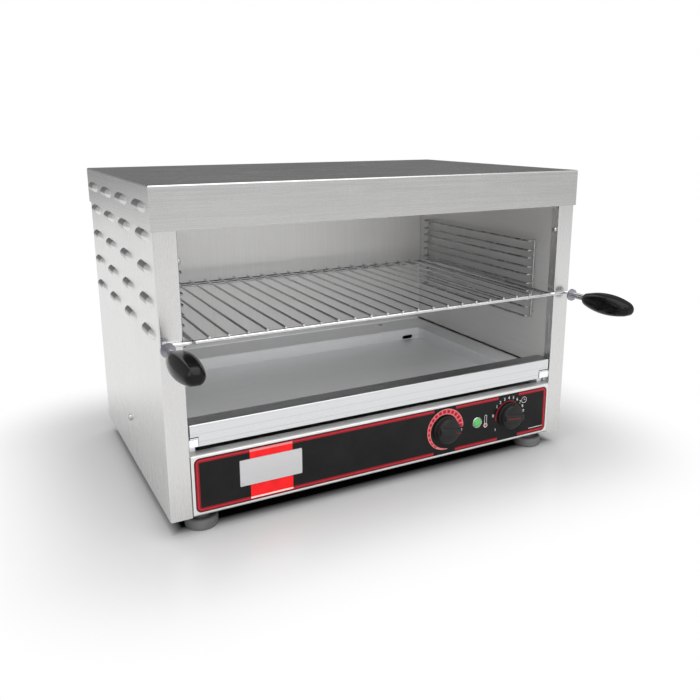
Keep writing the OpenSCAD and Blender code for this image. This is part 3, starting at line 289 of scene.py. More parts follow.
def close_mesh():
    bpy.ops.object.mode_set(mode="OBJECT")


def choose(obj, kind, rule):
    """In edit mode, selects the verts, edges or faces that the rule says yes to."""
    bpy.ops.mesh.select_mode(type=kind)
    bpy.ops.mesh.select_all(action="DESELECT")
    mesh = bmesh.from_edit_mesh(obj.data)
    items = {"VERT": mesh.verts, "EDGE": mesh.edges, "FACE": mesh.faces}[kind]
    chosen = [item for item in items if rule(item)]
    if not chosen:
        raise RuntimeError(f"{obj.name}: nothing to select")
    for item in chosen:
        item.select_set(True)
    mesh.select_flush_mode()
    bmesh.update_edit_mesh(obj.data)


def pull(y=0.0, z=0.0):
    """Extrudes the selected faces."""
    bpy.ops.mesh.extrude_region_move(TRANSFORM_OT_translate={"value": (0, y, z)})


def widen(x, y, z, about):
    """Scales the selection about a point."""
    bpy.ops.transform.resize(value=(x, y, z), center_override=about)


# verts closer than this are one
MERGE_GAP = 0.004 * MM


def tidy_mesh(obj):
    """Merges doubles and turns the faces outward."""
    open_mesh(obj)
    bpy.ops.mesh.select_mode(type="VERT")
    bpy.ops.mesh.select_all(action="SELECT")
    bpy.ops.mesh.remove_doubles(threshold=MERGE_GAP)
    bpy.ops.mesh.normals_make_consistent(inside=False)
    close_mesh()


def modify(obj, kind, **values):
    """Adds a modifier and applies it."""
    take(obj)
    modifier = obj.modifiers.new(kind.title(), kind)
    for key, value in values.items():
        setattr(modifier, key, value)
    bpy.ops.object.modifier_apply(modifier=modifier.name)


def soften(obj, width, segments, degrees):
    """Bevels the edges that are sharper than an angle."""
    modify(
        obj, "BEVEL", width=width, segments=segments, limit_method="ANGLE",
        angle_limit=math.radians(degrees),
    )


def place(obj, matrix):
    """Moves the mesh itself; a mirrored mesh gets its faces turned back."""
    obj.data.transform(matrix)
    if matrix.determinant() < 0:
        obj.data.flip_normals()
    obj.data.update()
    return obj


def twin(obj, name, matrix):
    """A copy with its own mesh, at another place."""
    copy = obj.copy()
    copy.data = obj.data.copy()
    call(copy, name)
    bpy.context.scene.collection.objects.link(copy)
    return place(copy, matrix)


def weld(name, pieces):
    """Joins pieces into one object."""
    clear_bench()
    for piece in pieces:
        piece.select_set(True)
    bpy.context.view_layer.objects.active = pieces[0]
    bpy.ops.object.join()
    return call(bpy.context.object, name)


def scrap(obj):
    bpy.data.objects.remove(obj, do_unlink=True)


def smooth(obj, angle):
    take(obj)
    bpy.ops.object.shade_smooth_by_angle(angle=math.radians(angle))


def fit(obj, body, finish, stands_for=(), angle=35):
    """Gives a finished piece its finish, its body and the solids that it stands for."""
    if angle:
        smooth(obj, angle)
    if finish:
        obj.data.materials.clear()
        obj.data.materials.append(bpy.data.materials[finish])
    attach(obj, body)
    if stands_for:
        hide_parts(*stands_for)


def stations(radius, height, *steps):
    """Stations for turned(), from steps in millimetres off a radius and a height."""
    return [(radius + out * MM, height + up * MM) for out, up in steps]


def turned(name, rings, segments):
    """A round piece on +Z, from (radius, height) stations, closed at both ends."""
    radius, height = rings[0]
    bpy.ops.mesh.primitive_circle_add(
        vertices=segments, radius=radius, fill_type="NGON", location=(0, 0, height)
    )
    obj = fresh(name)
    open_whole(obj)
    for wide, high in rings[1:]:
        pull(z=high - height)
        widen(wide / radius, wide / radius, 1, (0, 0, high))
        radius, height = wide, high
    close_mesh()
    tidy_mesh(obj)
    return obj


# ---- Finishes ----

# most of a noise texture's values lie between these two
NOISE_LOW, NOISE_HIGH = 0.3, 0.7
# how far the brush lines are drawn out, and the count of the broad ones against the fine ones
BRUSH_STRETCH = 0.012
BROAD_SHARE = 0.16


def fill(node, **values):
    """Sets a node's inputs by name."""
    for key, value in values.items():
        node.inputs[key.replace("_", " ")].default_value = value
    return node


def tint(colour, factor):
    return tuple(min(1.0, c * factor) for c in colour)


def grey(level):
    return (level, level, level)


class Shading:
    """A small builder for the nodes of a material or of the sky."""

    def __init__(self, tree):
        self.nodes = tree.nodes
        self.links = tree.links

    def add(self, kind, **values):
        node = self.nodes.new(kind)
        for key, value in values.items():
            setattr(node, key, value)
        return node

    def join(self, output, socket):
        self.links.new(output, socket)

    def feed(self, node, *values):
        """Sets or links a node's first inputs and gives its first output."""
        for socket, value in zip(node.inputs, values):
            if isinstance(value, (int, float)):
                socket.default_value = value
            else:
                self.join(value, socket)
        return node.outputs[0]

    def apart(self, vector):
        """The X, Y and Z of a vector."""
        node = self.add("ShaderNodeSeparateXYZ")
        self.join(vector, node.inputs[0])
        return node.outputs

    def sum(self, first, second, how="ADD"):
        return self.feed(self.add("ShaderNodeMath", operation=how), first, second)

    def size(self, value):
        """A value without its sign."""
        return self.sum(value, 0.0, "ABSOLUTE")

    def span(self, value, low, high, out_low=0.0, out_high=1.0, kind="LINEAR"):
        """Maps low to out_low and high to out_high."""
        node = self.add("ShaderNodeMapRange", interpolation_type=kind)
        fill(node, From_Min=low, From_Max=high, To_Min=out_low, To_Max=out_high)
        self.join(value, node.inputs["Value"])
        return node.outputs["Result"]

    def ramp(self, factor, *stops):
        """Colours at places along a factor."""
        ramp = self.add("ShaderNodeValToRGB")
        band = ramp.color_ramp
        while len(band.elements) < len(stops):
            band.elements.new(0.5)
        for element, (position, colour) in zip(band.elements, stops):
            element.position = position
            element.color = (*colour, 1)
        self.join(factor, ramp.inputs["Fac"])
        return ramp.outputs["Color"]

    def mix(self, share, first, second):
        """Two shaders by a share."""
        return self.feed(self.add("ShaderNodeMixShader"), share, first, second)


class Finish(Shading):
    """The builder for one procedural material."""

    def __init__(self, name):
        self.material = bpy.data.materials.new(name)
        self.material.use_nodes = True
        super().__init__(self.material.node_tree)
        self.shader = self.nodes["Principled BSDF"]
        self.place = self.add("ShaderNodeTexCoord").outputs["Object"]

    def drive(self, **outputs):
        """Links outputs to the shader's inputs by name."""
        for key, output in outputs.items():
            self.join(output, self.shader.inputs[key.replace("_", " ")])

    def noise(self, scale, stretch=(1, 1, 1), detail=2.0, rough=0.5):
        mapping = fill(self.add("ShaderNodeMapping"), Scale=stretch)
        self.join(self.place, mapping.inputs["Vector"])
        noise = fill(self.add("ShaderNodeTexNoise"), Scale=scale, Detail=detail, Roughness=rough)
        self.join(mapping.outputs["Vector"], noise.inputs["Vector"])
        return noise.outputs["Fac"]

    def cells(self, scale, feature):
        """Distances in a field of cells."""
        node = fill(self.add("ShaderNodeTexVoronoi", feature=feature), Scale=scale)
        self.join(self.place, node.inputs["Vector"])
        return node.outputs["Distance"]

    def grain(self, scale, along, detail):
        """Brush lines along one axis; "XY" turns them along Y on the sides of a folded sheet."""
        thin = BRUSH_STRETCH
        stretch = {"X": (thin, 1, 1), "Y": (1, thin, 1), "Z": (1, 1, thin)}
        first = self.noise(scale, stretch[along[0]], detail=detail, rough=0.6)
        if along != "XY":
            return first
        second = self.noise(scale, stretch["Y"], detail=detail, rough=0.6)
        facing = self.apart(self.add("ShaderNodeTexCoord").outputs["Normal"])
        on_side = self.sum(self.size(facing["X"]), 0.7, "GREATER_THAN")
        pick = self.add("ShaderNodeMix")
        for output, socket in ((on_side, 0), (first, 2), (second, 3)):
            self.join(output, pick.inputs[socket])
        return pick.outputs[0]

    def vary(self, noise, low, high):
        """A value that follows a noise from low to high."""
        return self.span(noise, NOISE_LOW, NOISE_HIGH, low, high)

    def mottle(self, noise, colour, low, high, start=NOISE_LOW, end=NOISE_HIGH):
        """A colour that follows a noise from one tint of it to another."""
        return self.ramp(noise, (start, tint(colour, low)), (end, tint(colour, high)))

    def multiply(self, first, second):
        mix = self.add("ShaderNodeMix", data_type="RGBA", blend_type="MULTIPLY")
        mix.inputs[0].default_value = 1.0
        self.join(first, mix.inputs[6])
        self.join(second, mix.inputs[7])
        return mix.outputs[2]

    def relief(self, height, strength, distance):
        bump = fill(self.add("ShaderNodeBump"), Strength=strength, Distance=distance)
        self.join(height, bump.inputs["Height"])
        self.drive(Normal=bump.outputs["Normal"])


def brushed(name, colour, roughness, grain, along, contrast=0.02, metallic=1.0):
    """Sheet steel with fine lines along one axis, faint clouds and handling marks."""
    f = Finish(name)
    fine = f.grain(grain, along, 3)
    broad = f.grain(grain * BROAD_SHARE, along, 2)
    clouds = f.noise(4.0, detail=3)
    marks = f.noise(22.0, detail=5, rough=0.7)
    lines = f.mottle(fine, colour, 1 - contrast, 1 + contrast)
    tone = f.ramp(broad, (0.35, grey(0.985)), (0.65, grey(1)))
    even = f.vary(fine, roughness - 0.04, roughness + 0.04)
    soft = f.vary(clouds, -0.02, 0.02)
    smear = f.span(marks, 0.52, 0.75, 0.0, 0.04)
    f.drive(Base_Color=f.multiply(lines, tone), Roughness=f.sum(f.sum(even, soft), smear))
    f.relief(fine, 0.03, 0.0002)
    fill(f.shader, Metallic=metallic)
    return f


# the tray's front bar: heights of its two folds and of its top
BAR_LINES = (117.3 * MM, 127.0 * MM)
BAR_TOP = 139.5 * MM
# painted shade along a fold and a painted dark reflection on the top, as tones against 1 for the face
FOLD_SHADE, TOP_SHADE = 0.88, 0.5


def crease(f):
    """Paints shade along the front bar's folds and a dark reflection on its top, by darkening a finish.
    """
    socket = f.shader.inputs["Base Color"]
    height = f.apart(f.place)["Z"]
    tone = f.span(height, BAR_TOP - 1.2 * MM, BAR_TOP - 0.4 * MM, 1.0, TOP_SHADE)
    for fold in BAR_LINES:
        away = f.size(f.sum(height, fold, "SUBTRACT"))
        line = f.span(away, 0.25 * MM, 0.75 * MM, FOLD_SHADE, 1.0)
        tone = f.sum(line, tone, "MINIMUM")
    f.join(f.multiply(socket.links[0].from_socket, tone), socket)


def bright_wire(name, colour, roughness):
    """Drawn wire with faint die lines and dull spots."""
    f = Finish(name)
    die = f.noise(1500)
    spots = f.noise(60, detail=4, rough=0.65)
    f.drive(
        Base_Color=f.mottle(spots, colour, 0.86, 1, 0.35, 0.6),
        Roughness=f.vary(spots, roughness - 0.04, roughness + 0.10),
    )
    f.relief(die, 0.04, 0.0002)
    fill(f.shader, Metallic=1.0)


def moulded(name, colour, roughness, grain, depth, marks=0.06, shine=0.5):
    """Moulded plastic with a fine skin and slightly worn patches."""
    f = Finish(name)
    worn = f.noise(38, detail=4, rough=0.6)
    f.drive(
        Base_Color=f.mottle(worn, colour, 0.85, 1.25, 0.35),
        Roughness=f.vary(worn, roughness - marks, roughness + marks),
    )
    f.relief(f.noise(grain), depth, 0.0003)
    fill(f.shader, Specular_IOR_Level=shine)


def printed(name, colour):
    """Printing ink with a faint screen texture."""
    f = Finish(name)
    screen = f.noise(2600, detail=1)
    patches = f.noise(90, detail=3)
    f.drive(Base_Color=f.mottle(patches, colour, 0.92, 1.06), Roughness=f.vary(screen, 0.29, 0.39))
    f.relief(screen, 0.03, 0.0001)
    fill(f.shader, Specular_IOR_Level=0.2)


def steel_finishes(steel):
    casing, cavity, tray = tuple(steel.casing), tuple(steel.cavity), tuple(steel.tray)
    skin, grain = steel.roughness, steel.grain
    brushed("cover steel", tint(casing, 0.87), skin, grain, "XY")
    brushed("casing steel upright", casing, skin, grain, "Z")
    brushed("casing steel back", casing, skin + 0.06, grain, "X", 0.04)
    # darker copy of the casing steel for the louvres' barrels: a painted dark reflection
    brushed("louvre barrel steel", tint(casing, 0.47), skin, grain, "Y", 0.04)
    brushed("panel steel", tint(casing, 0.95), 0.40, grain, "X", 0.02, 0.4)
    brushed("cavity steel upright", cavity, 0.42, grain, "Z", 0.04, 0.6)
    brushed("cavity steel lengthwise", tint(cavity, 0.88), 0.42, grain, "Y", 0.04, 0.5)
    brushed("tray steel", tray, 0.36, grain, "X", 0.03, 0.4)
    # a lighter copy of the tray steel for the rear ledge: painted light
    brushed("ledge steel", tint(tray, 1.08), 0.36, grain, "X", 0.03, 0.2)
    # the front bar gets painted shade on its folds and a painted dark reflection on its top
    crease(brushed("tray bar steel", tint(tray, 0.86), 0.30, grain, "X"))
    brushed("mill steel", grey(0.34), 0.50, grain * 0.5, "X", 0.10)
    brushed("badge plate satin", (0.68, 0.68, 0.69), 0.34, 700, "X")
    bright_wire("bright wire", tuple(steel.wire), 0.20)
    bright_wire("screw steel", (0.58, 0.58, 0.57), 0.28)
    bright_wire("rack wire", grey(0.42), 0.24)
    bright_wire("disc steel", (0.36, 0.36, 0.41), 0.34)
    bright_wire("bezel chrome", grey(0.78), 0.10)


def plastic_finishes(grips, knobs, printing):
    moulded("grip plastic", tuple(grips.colour), 0.15, 900, 0.02, shine=0.17)
    moulded("knob plastic", tuple(knobs.colour), 0.40, 1500, 0.08, shine=0.22)
    moulded("foot plastic", (0.105, 0.105, 0.108), 0.58, 1200, 0.25)
    moulded("gland nylon", (0.014, 0.014, 0.015), 0.46, 1100, 0.2)
    moulded("control body plastic", (0.60, 0.57, 0.50), 0.55, 700, 0.15)
    moulded("wire insulation", (0.42, 0.035, 0.025), 0.48, 900, 0.08)
    moulded("fibre board", (0.78, 0.76, 0.70), 0.95, 420, 0.8)
    moulded("panel film", tuple(printing.ground), 0.20, 2200, 0.01, marks=0.02, shine=0.14)


def ink_finishes(printing):
    line = tuple(printing.line)
    printed("red line ink", line)
    printed("dark red ink", tint(line, 0.42))
    printed("crimson ink", (0.27, 0.004, 0.015))
    printed("scale red ink", (0.56, 0.050, 0.068))
    printed("pale pink ink", (0.88, 0.56, 0.54))
    printed("red block ink", tuple(printing.block))
    printed("pink ink", tuple(printing.pink))
    printed("white ink", tuple(printing.white))


def other_finishes():
    glass = Finish("dark glass ceramic")
    dots = glass.cells(260, "F1")
    glass.drive(
        Base_Color=glass.ramp(dots, (0.12, (0.035, 0.028, 0.026)), (0.2, (0.012, 0.009, 0.009))),
        Roughness=glass.vary(glass.noise(30), 0.06, 0.14),
    )
    fill(glass.shader, IOR=1.52, Coat_Weight=0.3)

    ribbon = Finish("oxidised ribbon")
    scale = ribbon.noise(300, detail=4)
    ribbon.drive(
        Base_Color=ribbon.ramp(scale, (0.3, (0.12, 0.08, 0.06)), (0.7, (0.30, 0.20, 0.15))),
        Roughness=ribbon.vary(scale, 0.4, 0.65),
    )
    fill(ribbon.shader, Metallic=0.8)

    bush = Finish("turned brass")
    rings = bush.noise(1400, (0.05, 0.05, 1))
    bush.drive(
        Base_Color=bush.ramp(rings, (0.3, (0.50, 0.38, 0.18)), (0.7, (0.62, 0.48, 0.24))),
        Roughness=bush.vary(rings, 0.26, 0.38),
    )
    fill(bush.shader, Metallic=1.0)

    stud = Finish("threaded steel")
    wave = stud.add(
        "ShaderNodeTexWave", wave_type="BANDS", bands_direction="Z", wave_profile="TRI",
    )
    fill(wave, Scale=250)
    stud.join(stud.place, wave.inputs["Vector"])
    thread = wave.outputs["Fac"]
    # painted light: the stud is lighter than its steel to make up for the shade under the body; painted
    # shade: darker in the thread's grooves
    stud.drive(
        Base_Color=stud.ramp(thread, (0.1, (0.50, 0.50, 0.51)), (0.7, (0.86, 0.85, 0.87))),
        Roughness=stud.span(thread, 0, 1, 0.45, 0.25),
    )
    stud.relief(thread, 0.5, 0.0006)
    fill(stud.shader, Metallic=0.5)

    lens = Finish("green lens")
    facets = lens.cells(620, "DISTANCE_TO_EDGE")
    lens.drive(
        Base_Color=lens.ramp(facets, (0.02, (0.08, 0.42, 0.09)), (0.16, (0.035, 0.27, 0.05))),
        Roughness=lens.span(facets, 0, 0.2, 0.05, 0.14),
    )
    lens.relief(facets, 0.25, 0.0004)
    fill(lens.shader, Coat_Weight=1.0, Emission_Color=(0.03, 0.5, 0.06, 1), Emission_Strength=0.08)


# each finish with the nodes that wear it
WEARERS = {
    "casing steel upright": "side_panel_left side_panel_right",
    "casing steel back": "back_panel",
    "cover steel": "top_cover",
    "mill steel": "base_plate electrics_deck heater_trays heat_shield",
    "cavity steel lengthwise": "liner_left liner_right ceiling_frame",
    "cavity steel upright": "liner_back",
    "ledge steel": "rear_ledge",
    "dark glass ceramic": "glass_ceramic_pane",
    "fibre board": "heater_insulation",
    "oxidised ribbon": "heater_ribbons",
    "rack wire": "rack_left rack_right",
    "screw steel": "stop_screws side_screws back_screws base_screws power_shaft timer_shaft",
    "tray steel": "tray_guide_left tray_guide_right tray_pan",
    "tray bar steel": "tray_front_bar",
    "panel steel": "control_fascia",
    "panel film": "control_overlay",
    "badge plate satin": "badge_plate",
    "control body plastic":
        "power_regulator timer_body pilot_body safety_thermostat terminal_block",
    "bezel chrome": "pilot_bezel",
    "green lens": "pilot_lens",
    "gland nylon": "cable_gland",
    "wire insulation": "wiring_loom",
    "knob plastic": "power_knob timer_knob",
    "bright wire": "shelf_frame shelf_tie_wire shelf_front_bar shelf_cross_wires tail_rods",
    "disc steel": "guard_discs",
    "grip plastic": "grip_left grip_right",
    "foot plastic": "foot_front_left foot_front_right foot_rear_left foot_rear_right",
    "threaded steel": "stud_front_left stud_front_right stud_rear_left stud_rear_right",
    "turned brass": "stud_bushes",
}


class MELTER_OT_finishes(bpy.types.Operator):
    """Make every finish and give each solid of the model its own"""

    bl_idname = "melter.finishes"
    bl_label = "Finishes"

    def execute(self, context):
        scene = context.scene
        steel_finishes(scene.melter_steel)
        plastic_finishes(scene.melter_grips, scene.melter_knobs, scene.melter_printing)
        ink_finishes(scene.melter_printing)
        other_finishes()
        worn = {node: finish for finish, nodes in WEARERS.items() for node in nodes.split()}
        missing = sorted(set(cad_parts) - set(worn))
        if missing:
            raise RuntimeError(f"no finish for {missing}")
        for node, finish in worn.items():
            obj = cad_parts[node]
            if not obj.material_slots:
                obj.data.materials.append(None)
            for slot in obj.material_slots:
                slot.material = bpy.data.materials[finish]
        return {"FINISHED"}


# ---- Louvres ----

# how far a hood reaches past the solid one's open end, and how far outside the sheet's face its
# circle is cut off
MOUTH_PROUD, MOUTH_CUT = 0.1 * MM, 0.3 * MM
# the foot of a hood, which flares out: distances from the sheet's face and shares of the flare
FLARE_STEPS = ((0.2 * MM, 0.12), (0.04 * MM, 0.45), (-0.08 * MM, 1.0))
# the nose closes in steps, and stays a little blunter in height than a round one
NOSE_STEPS = 9
NOSE_BLUNT = 0.75
NOSE_LEAST = 0.01


def hood_mouth(sizes, rear):
    """The outline of a hood at its open end: part of a circle with a flared foot.

    Its mesh stays open, with everything selected.
    """
    half = math.sqrt(sizes.radius**2 - sizes.sink**2)
    bpy.ops.mesh.primitive_circle_add(
        vertices=64, radius=sizes.radius, fill_type="NOTHING",
        location=(-sizes.sink, rear, 0), rotation=(QUARTER, 0, 0),
    )
    hood = fresh("louvre_hood")
    open_mesh(hood)
    choose(hood, "VERT", lambda v: v.co.x < MOUTH_CUT)
    bpy.ops.mesh.delete(type="VERT")
    for side in (1, -1):
        for x, share in FLARE_STEPS:
            mesh = bmesh.from_edit_mesh(hood.data)
            end = min((v for v in mesh.verts if v.co.z * side > 0), key=lambda v: v.co.x)
            here = end.co.copy()
            choose(hood, "VERT", lambda v: (v.co - here).length < TINY)
            z = side * (half + share * sizes.flare)
            step = (x - here.x, 0, z - here.z)
            bpy.ops.mesh.extrude_vertices_move(TRANSFORM_OT_translate={"value": step})
    bpy.ops.mesh.select_all(action="SELECT")
    return hood


def louvre_hood(sizes):
    """One hood that bulges to +X from the face x = 0: a barrel open at +Y with a sloping nose."""
    rear = sizes.length / 2 + MOUTH_PROUD
    bend = sizes.slope - sizes.length / 2
    hood = hood_mouth(sizes, rear)
    bpy.ops.mesh.extrude_edges_move(TRANSFORM_OT_translate={"value": (0, bend - rear, 0)})
    bpy.ops.mesh.mark_sharp()
    along, high, wide = 0.0, 1.0, 1.0
    for step in range(1, NOSE_STEPS + 1):
        turn = QUARTER * step / NOSE_STEPS
        share = math.sin(turn)
        move = (0, (along - share) * sizes.slope, 0)
        bpy.ops.mesh.extrude_edges_move(TRANSFORM_OT_translate={"value": move})
        new_high = max(NOSE_LEAST, (1 - share) ** NOSE_BLUNT)
        new_wide = max(NOSE_LEAST, math.cos(turn))
        widen(new_high / high, 1, new_wide / wide, (0, bend - share * sizes.slope, 0))
        along, high, wide = share, new_high, new_wide
    bpy.ops.mesh.merge(type="CENTER")
    close_mesh()
    tidy_mesh(hood)
    if max(hood.data.polygons, key=lambda p: p.center.x).normal.x < 0:
        hood.data.flip_normals()
    modify(hood, "SOLIDIFY", thickness=sizes.wall, offset=-1.0)
    # the barrel behind each hood's nose wears the darker copy, a painted dark reflection
    for finish in ("casing steel upright", "louvre barrel steel"):
        hood.data.materials.append(bpy.data.materials[finish])
    for face in hood.data.polygons:
        face.material_index = int(face.center.y > bend)
    return hood


class MELTER_OT_louvres(bpy.types.Operator):
    """Press the smooth hoods over the louvres of the cover's skirt and both side panels"""

    bl_idname = "melter.louvres"
    bl_label = "Louvres"

    def execute(self, context):
        sizes = context.scene.melter_louvres
        hood = louvre_hood(sizes)
        pitch = (sizes.last - sizes.first) / (sizes.columns - 1)
        panel_rows = [
            SKIRT_TOP - sizes.row_drop - row * sizes.row_pitch for row in range(sizes.rows)
        ]
        fields = (
            ("skirt", SKIRT_X, [SKIRT_TOP - sizes.skirt_drop], "cover steel"),
            ("side", SIDE_X, panel_rows, "casing steel upright"),
        )
        for label, x, heights, finish in fields:
            for side, mirror in (("right", 1), ("left", -1)):
                flip = Matrix.Diagonal((mirror, 1, 1, 1))
                copies = []
                for height in heights:
                    for column in range(sizes.columns):
                        y = FACE_Y + sizes.first + column * pitch
                        copies.append(twin(hood, "hood", flip @ Matrix.Translation((x, y, height))))
                piece = weld(f"{label}_louvres_{side}", copies)
                piece.data.materials[0] = bpy.data.materials[finish]
                fit(piece, "casing", None, angle=40)
        scrap(hood)
        return {"FINISHED"}


# ---- Grips ----

# half the width of a grip's root, as a share of its whole width, and the drop of its crown
# towards the ends, as a share of its height
GRIP_ROOT, GRIP_DIP = 0.28, 0.24
# a grip's rounded ends: length, places of the rings in it, and the size of the first ring
GRIP_END = 7 * MM
END_PLACES = (0.0, 0.06, 0.22, 0.45, 0.72, 1.0)
END_SHARE = 0.52
GRIP_STEPS = 12


def bowed(half, drop, reach, offset):
    """Half a bowed section's size at an offset, when it drops by drop at reach."""
    radius = (reach**2 + drop**2) / (2 * drop)
    return half - radius + math.sqrt(radius**2 - offset**2)


def grip_half(offset, sizes):
    """Half width and half height of a grip at a distance from its middle."""
    half, reach = sizes.width / 2, sizes.length / 2
    wide = bowed(half, half - sizes.width * GRIP_ROOT, reach, offset)
    high = bowed(sizes.height / 2, sizes.height * GRIP_DIP, reach, offset)
    return wide, high


def grip_rings(sizes):
    """Places, half widths and half heights of a grip's rings from its root to its tip."""
    length = sizes.length
    ends = []
    for u in END_PLACES:
        wide, high = grip_half(length / 2 - u * GRIP_END, sizes)
        shrink = END_SHARE + (1 - END_SHARE) * math.sqrt(1 - (1 - u) ** 2)
        ends.append((u * GRIP_END, wide * shrink, high * shrink))
    belly = []
    for i in range(1, GRIP_STEPS):
        along = GRIP_END + (length - 2 * GRIP_END) * i / GRIP_STEPS
        belly.append((along, *grip_half(abs(length / 2 - along), sizes)))
    return ends + belly + [(length - a, w, h) for a, w, h in reversed(ends)]


def grip_body(sizes):
    """A spindle along Y with its root at y = 0 and its tip at -length, soft at both ends."""
    bpy.ops.mesh.primitive_circle_add(
        vertices=48, radius=1, fill_type="NGON", rotation=(QUARTER, 0, 0)
    )
    grip = fresh("grip")
    open_mesh(grip)
    for side in (1, -1):
        choose(grip, "VERT", lambda v: v.co.z * side > sizes.flat)
        widen(1, 1, 0, (0, 0, side * sizes.flat))
    bpy.ops.mesh.select_all(action="SELECT")
    rings = [(along, w, h / sizes.flat) for along, w, h in grip_rings(sizes)]
    here, wide, high = rings[0]
    widen(wide, 1, high, (0, 0, 0))
    for along, w, h in rings[1:]:
        pull(y=here - along)
        widen(w / wide, 1, h / high, (0, -along, 0))
        here, wide, high = along, w, h
    close_mesh()
    tidy_mesh(grip)
    soften(grip, 0.5 * MM, 2, 40)
    return grip


class MELTER_OT_grips(bpy.types.Operator):
    """Mould the two grips as soft spindles, a little flat above and below"""

    bl_idname = "melter.grips"
    bl_label = "Grips"

    def execute(self, context):
        grip = grip_body(context.scene.melter_grips)
        for node in ("grip_left", "grip_right"):
            centre = middle(node)
            spot = Matrix.Translation((centre.x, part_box(node)[1].y, centre.z))
            piece = twin(grip, node + "_moulded", spot)
            fit(piece, "shelf", "grip plastic", (node,), angle=50)
        scrap(grip)
        return {"FINISHED"}


# ---- Knobs ----

# the ridge: width of its foot and length of its crest as shares, how deep it stands in the
# knob, and how far its ends stay inside the rim
RIDGE_FOOT, RIDGE_CREST = 1.9, 0.94
RIDGE_SINK, RIDGE_SHORT = 3 * MM, 2.2 * MM
# the printed line: width, distance of its tip from the rim, height above the crest, thickness
LINE_WIDTH, LINE_INSET, LINE_PROUD, LINE_THICK = 1.3 * MM, 4.6 * MM, 0.03 * MM, 0.08 * MM
POWER_LINE, TIMER_LINE = 8 * MM, 24 * MM


def knob_body(sizes):
    """A domed knob that stands on z = 0 with a soft ridge across it and its pointer to +Y."""
    r, top = sizes.radius, sizes.height - sizes.bar
    foot = stations(
        r, 0, (-0.4, 0), (0, 0.4), (0, 1.5), (-0.4, 1.95), (-1.0, 2.2), (-1.2, 3.0),
    )
    dome = stations(
        r, top, (-1.5, -3.6), (-1.9, -2.2), (-2.7, -1.1), (-4.0, -0.3), (-6.0, 0.3), (-9.0, 0.8),
        (-13.0, 1.2), (-17.0, 1.4),
    )
    body = turned("knob_body", foot + dome + stations(0, top, (1.0, 1.45)), 96)
    wide, deep = sizes.bar_width * RIDGE_FOOT, sizes.bar + RIDGE_SINK
    bpy.ops.mesh.primitive_cube_add(
        size=1, location=(0, 0, sizes.height - deep / 2),
        scale=(wide, 2 * (r - RIDGE_SHORT), deep),
    )
    bar = fresh("knob_bar")
    open_mesh(bar)
    choose(bar, "FACE", lambda f: f.normal.z > 0.9)
    widen(1 / RIDGE_FOOT, RIDGE_CREST, 1, (0, 0, sizes.height))
    close_mesh()
    soften(bar, 2.6 * MM, 6, 30)
    smooth(body, 35)
    smooth(bar, 60)
    return weld("knob", [body, bar])


def knob_line(sizes, length):
    """The printed pointer line along the crest of a knob's ridge."""
    tip = sizes.radius - LINE_INSET
    centre = (0, tip - length / 2, sizes.height + LINE_PROUD)
    bpy.ops.mesh.primitive_plane_add(size=1, location=centre)
    line = fresh("knob_line")
    open_whole(line)
    widen(LINE_WIDTH, length, 1, centre)
    bpy.ops.mesh.bevel(offset=LINE_WIDTH * 0.3, segments=3, affect="VERTICES")
    close_mesh()
    modify(line, "SOLIDIFY", thickness=LINE_THICK, offset=-1.0)
    return line


class MELTER_OT_knobs(bpy.types.Operator):
    """Mould the two knobs and print their pointers"""

    bl_idname = "melter.knobs"
    bl_label = "Knobs"

    def execute(self, context):
        sizes = context.scene.melter_knobs
        knob = knob_body(sizes)
        pointers = (
            ("power", sizes.power_rest, POWER_LINE), ("timer", sizes.timer_rest, TIMER_LINE),
        )
        for label, turn, length in pointers:
            node, body = label + "_knob", label + "_control"
            centre = middle(label + "_shaft")
            seat = Matrix.Translation((centre.x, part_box(node)[1].y, centre.z))
            spot = seat @ Matrix.Rotation(turn, 4, "Y") @ TO_FRONT
            piece = twin(knob, node + "_moulded", spot)
            fit(piece, body, "knob plastic", (node,), angle=0)
            line = place(knob_line(sizes, length), spot)
            fit(call(line, node + "_pointer"), body, "dark red ink", angle=30)
        scrap(knob)
        return {"FINISHED"}


# ---- Pilot light ----


class MELTER_OT_pilot(bpy.types.Operator):
    """Turn the pilot light's bright ring and its domed green lens"""

    bl_idname = "melter.pilot"
    bl_label = "Pilot light"

    def execute(self, context):
        low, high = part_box("pilot_bezel")
        r = (high.x - low.x) / 2
        spot = Matrix.Translation((PILOT.x, low.y, POWER.z)) @ TO_FRONT
        ring = turned("pilot_ring", stations(
            r, 0, (-2.6, -11), (-2.5, -1.7), (-0.3, -1.6), (0, -1.2), (0, -0.7), (-0.3, -0.15),
            (-0.6, 0), (-0.95, -0.2), (-1.1, -0.6), (-3.0, -0.7),
        ), 64)
        fit(place(ring, spot), "casing", "bezel chrome", ("pilot_bezel",))
        proud = low.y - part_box("pilot_lens")[0].y
        wide, root, steps = r - 1.15 * MM, -0.4 * MM, 9
        dome = [(r - 3.0 * MM, -0.5 * MM), (wide, root)]
        for i in range(1, steps):
            turn = QUARTER * i / steps
            dome.append((wide * math.cos(turn), root + (proud - root) * math.sin(turn)))
        dome.append((0.3 * MM, proud))
        lens = turned("pilot_dome", dome, 48)
        fit(place(lens, spot), "casing", "green lens", ("pilot_lens",), angle=60)
        return {"FINISHED"}


# ---- Feet ----


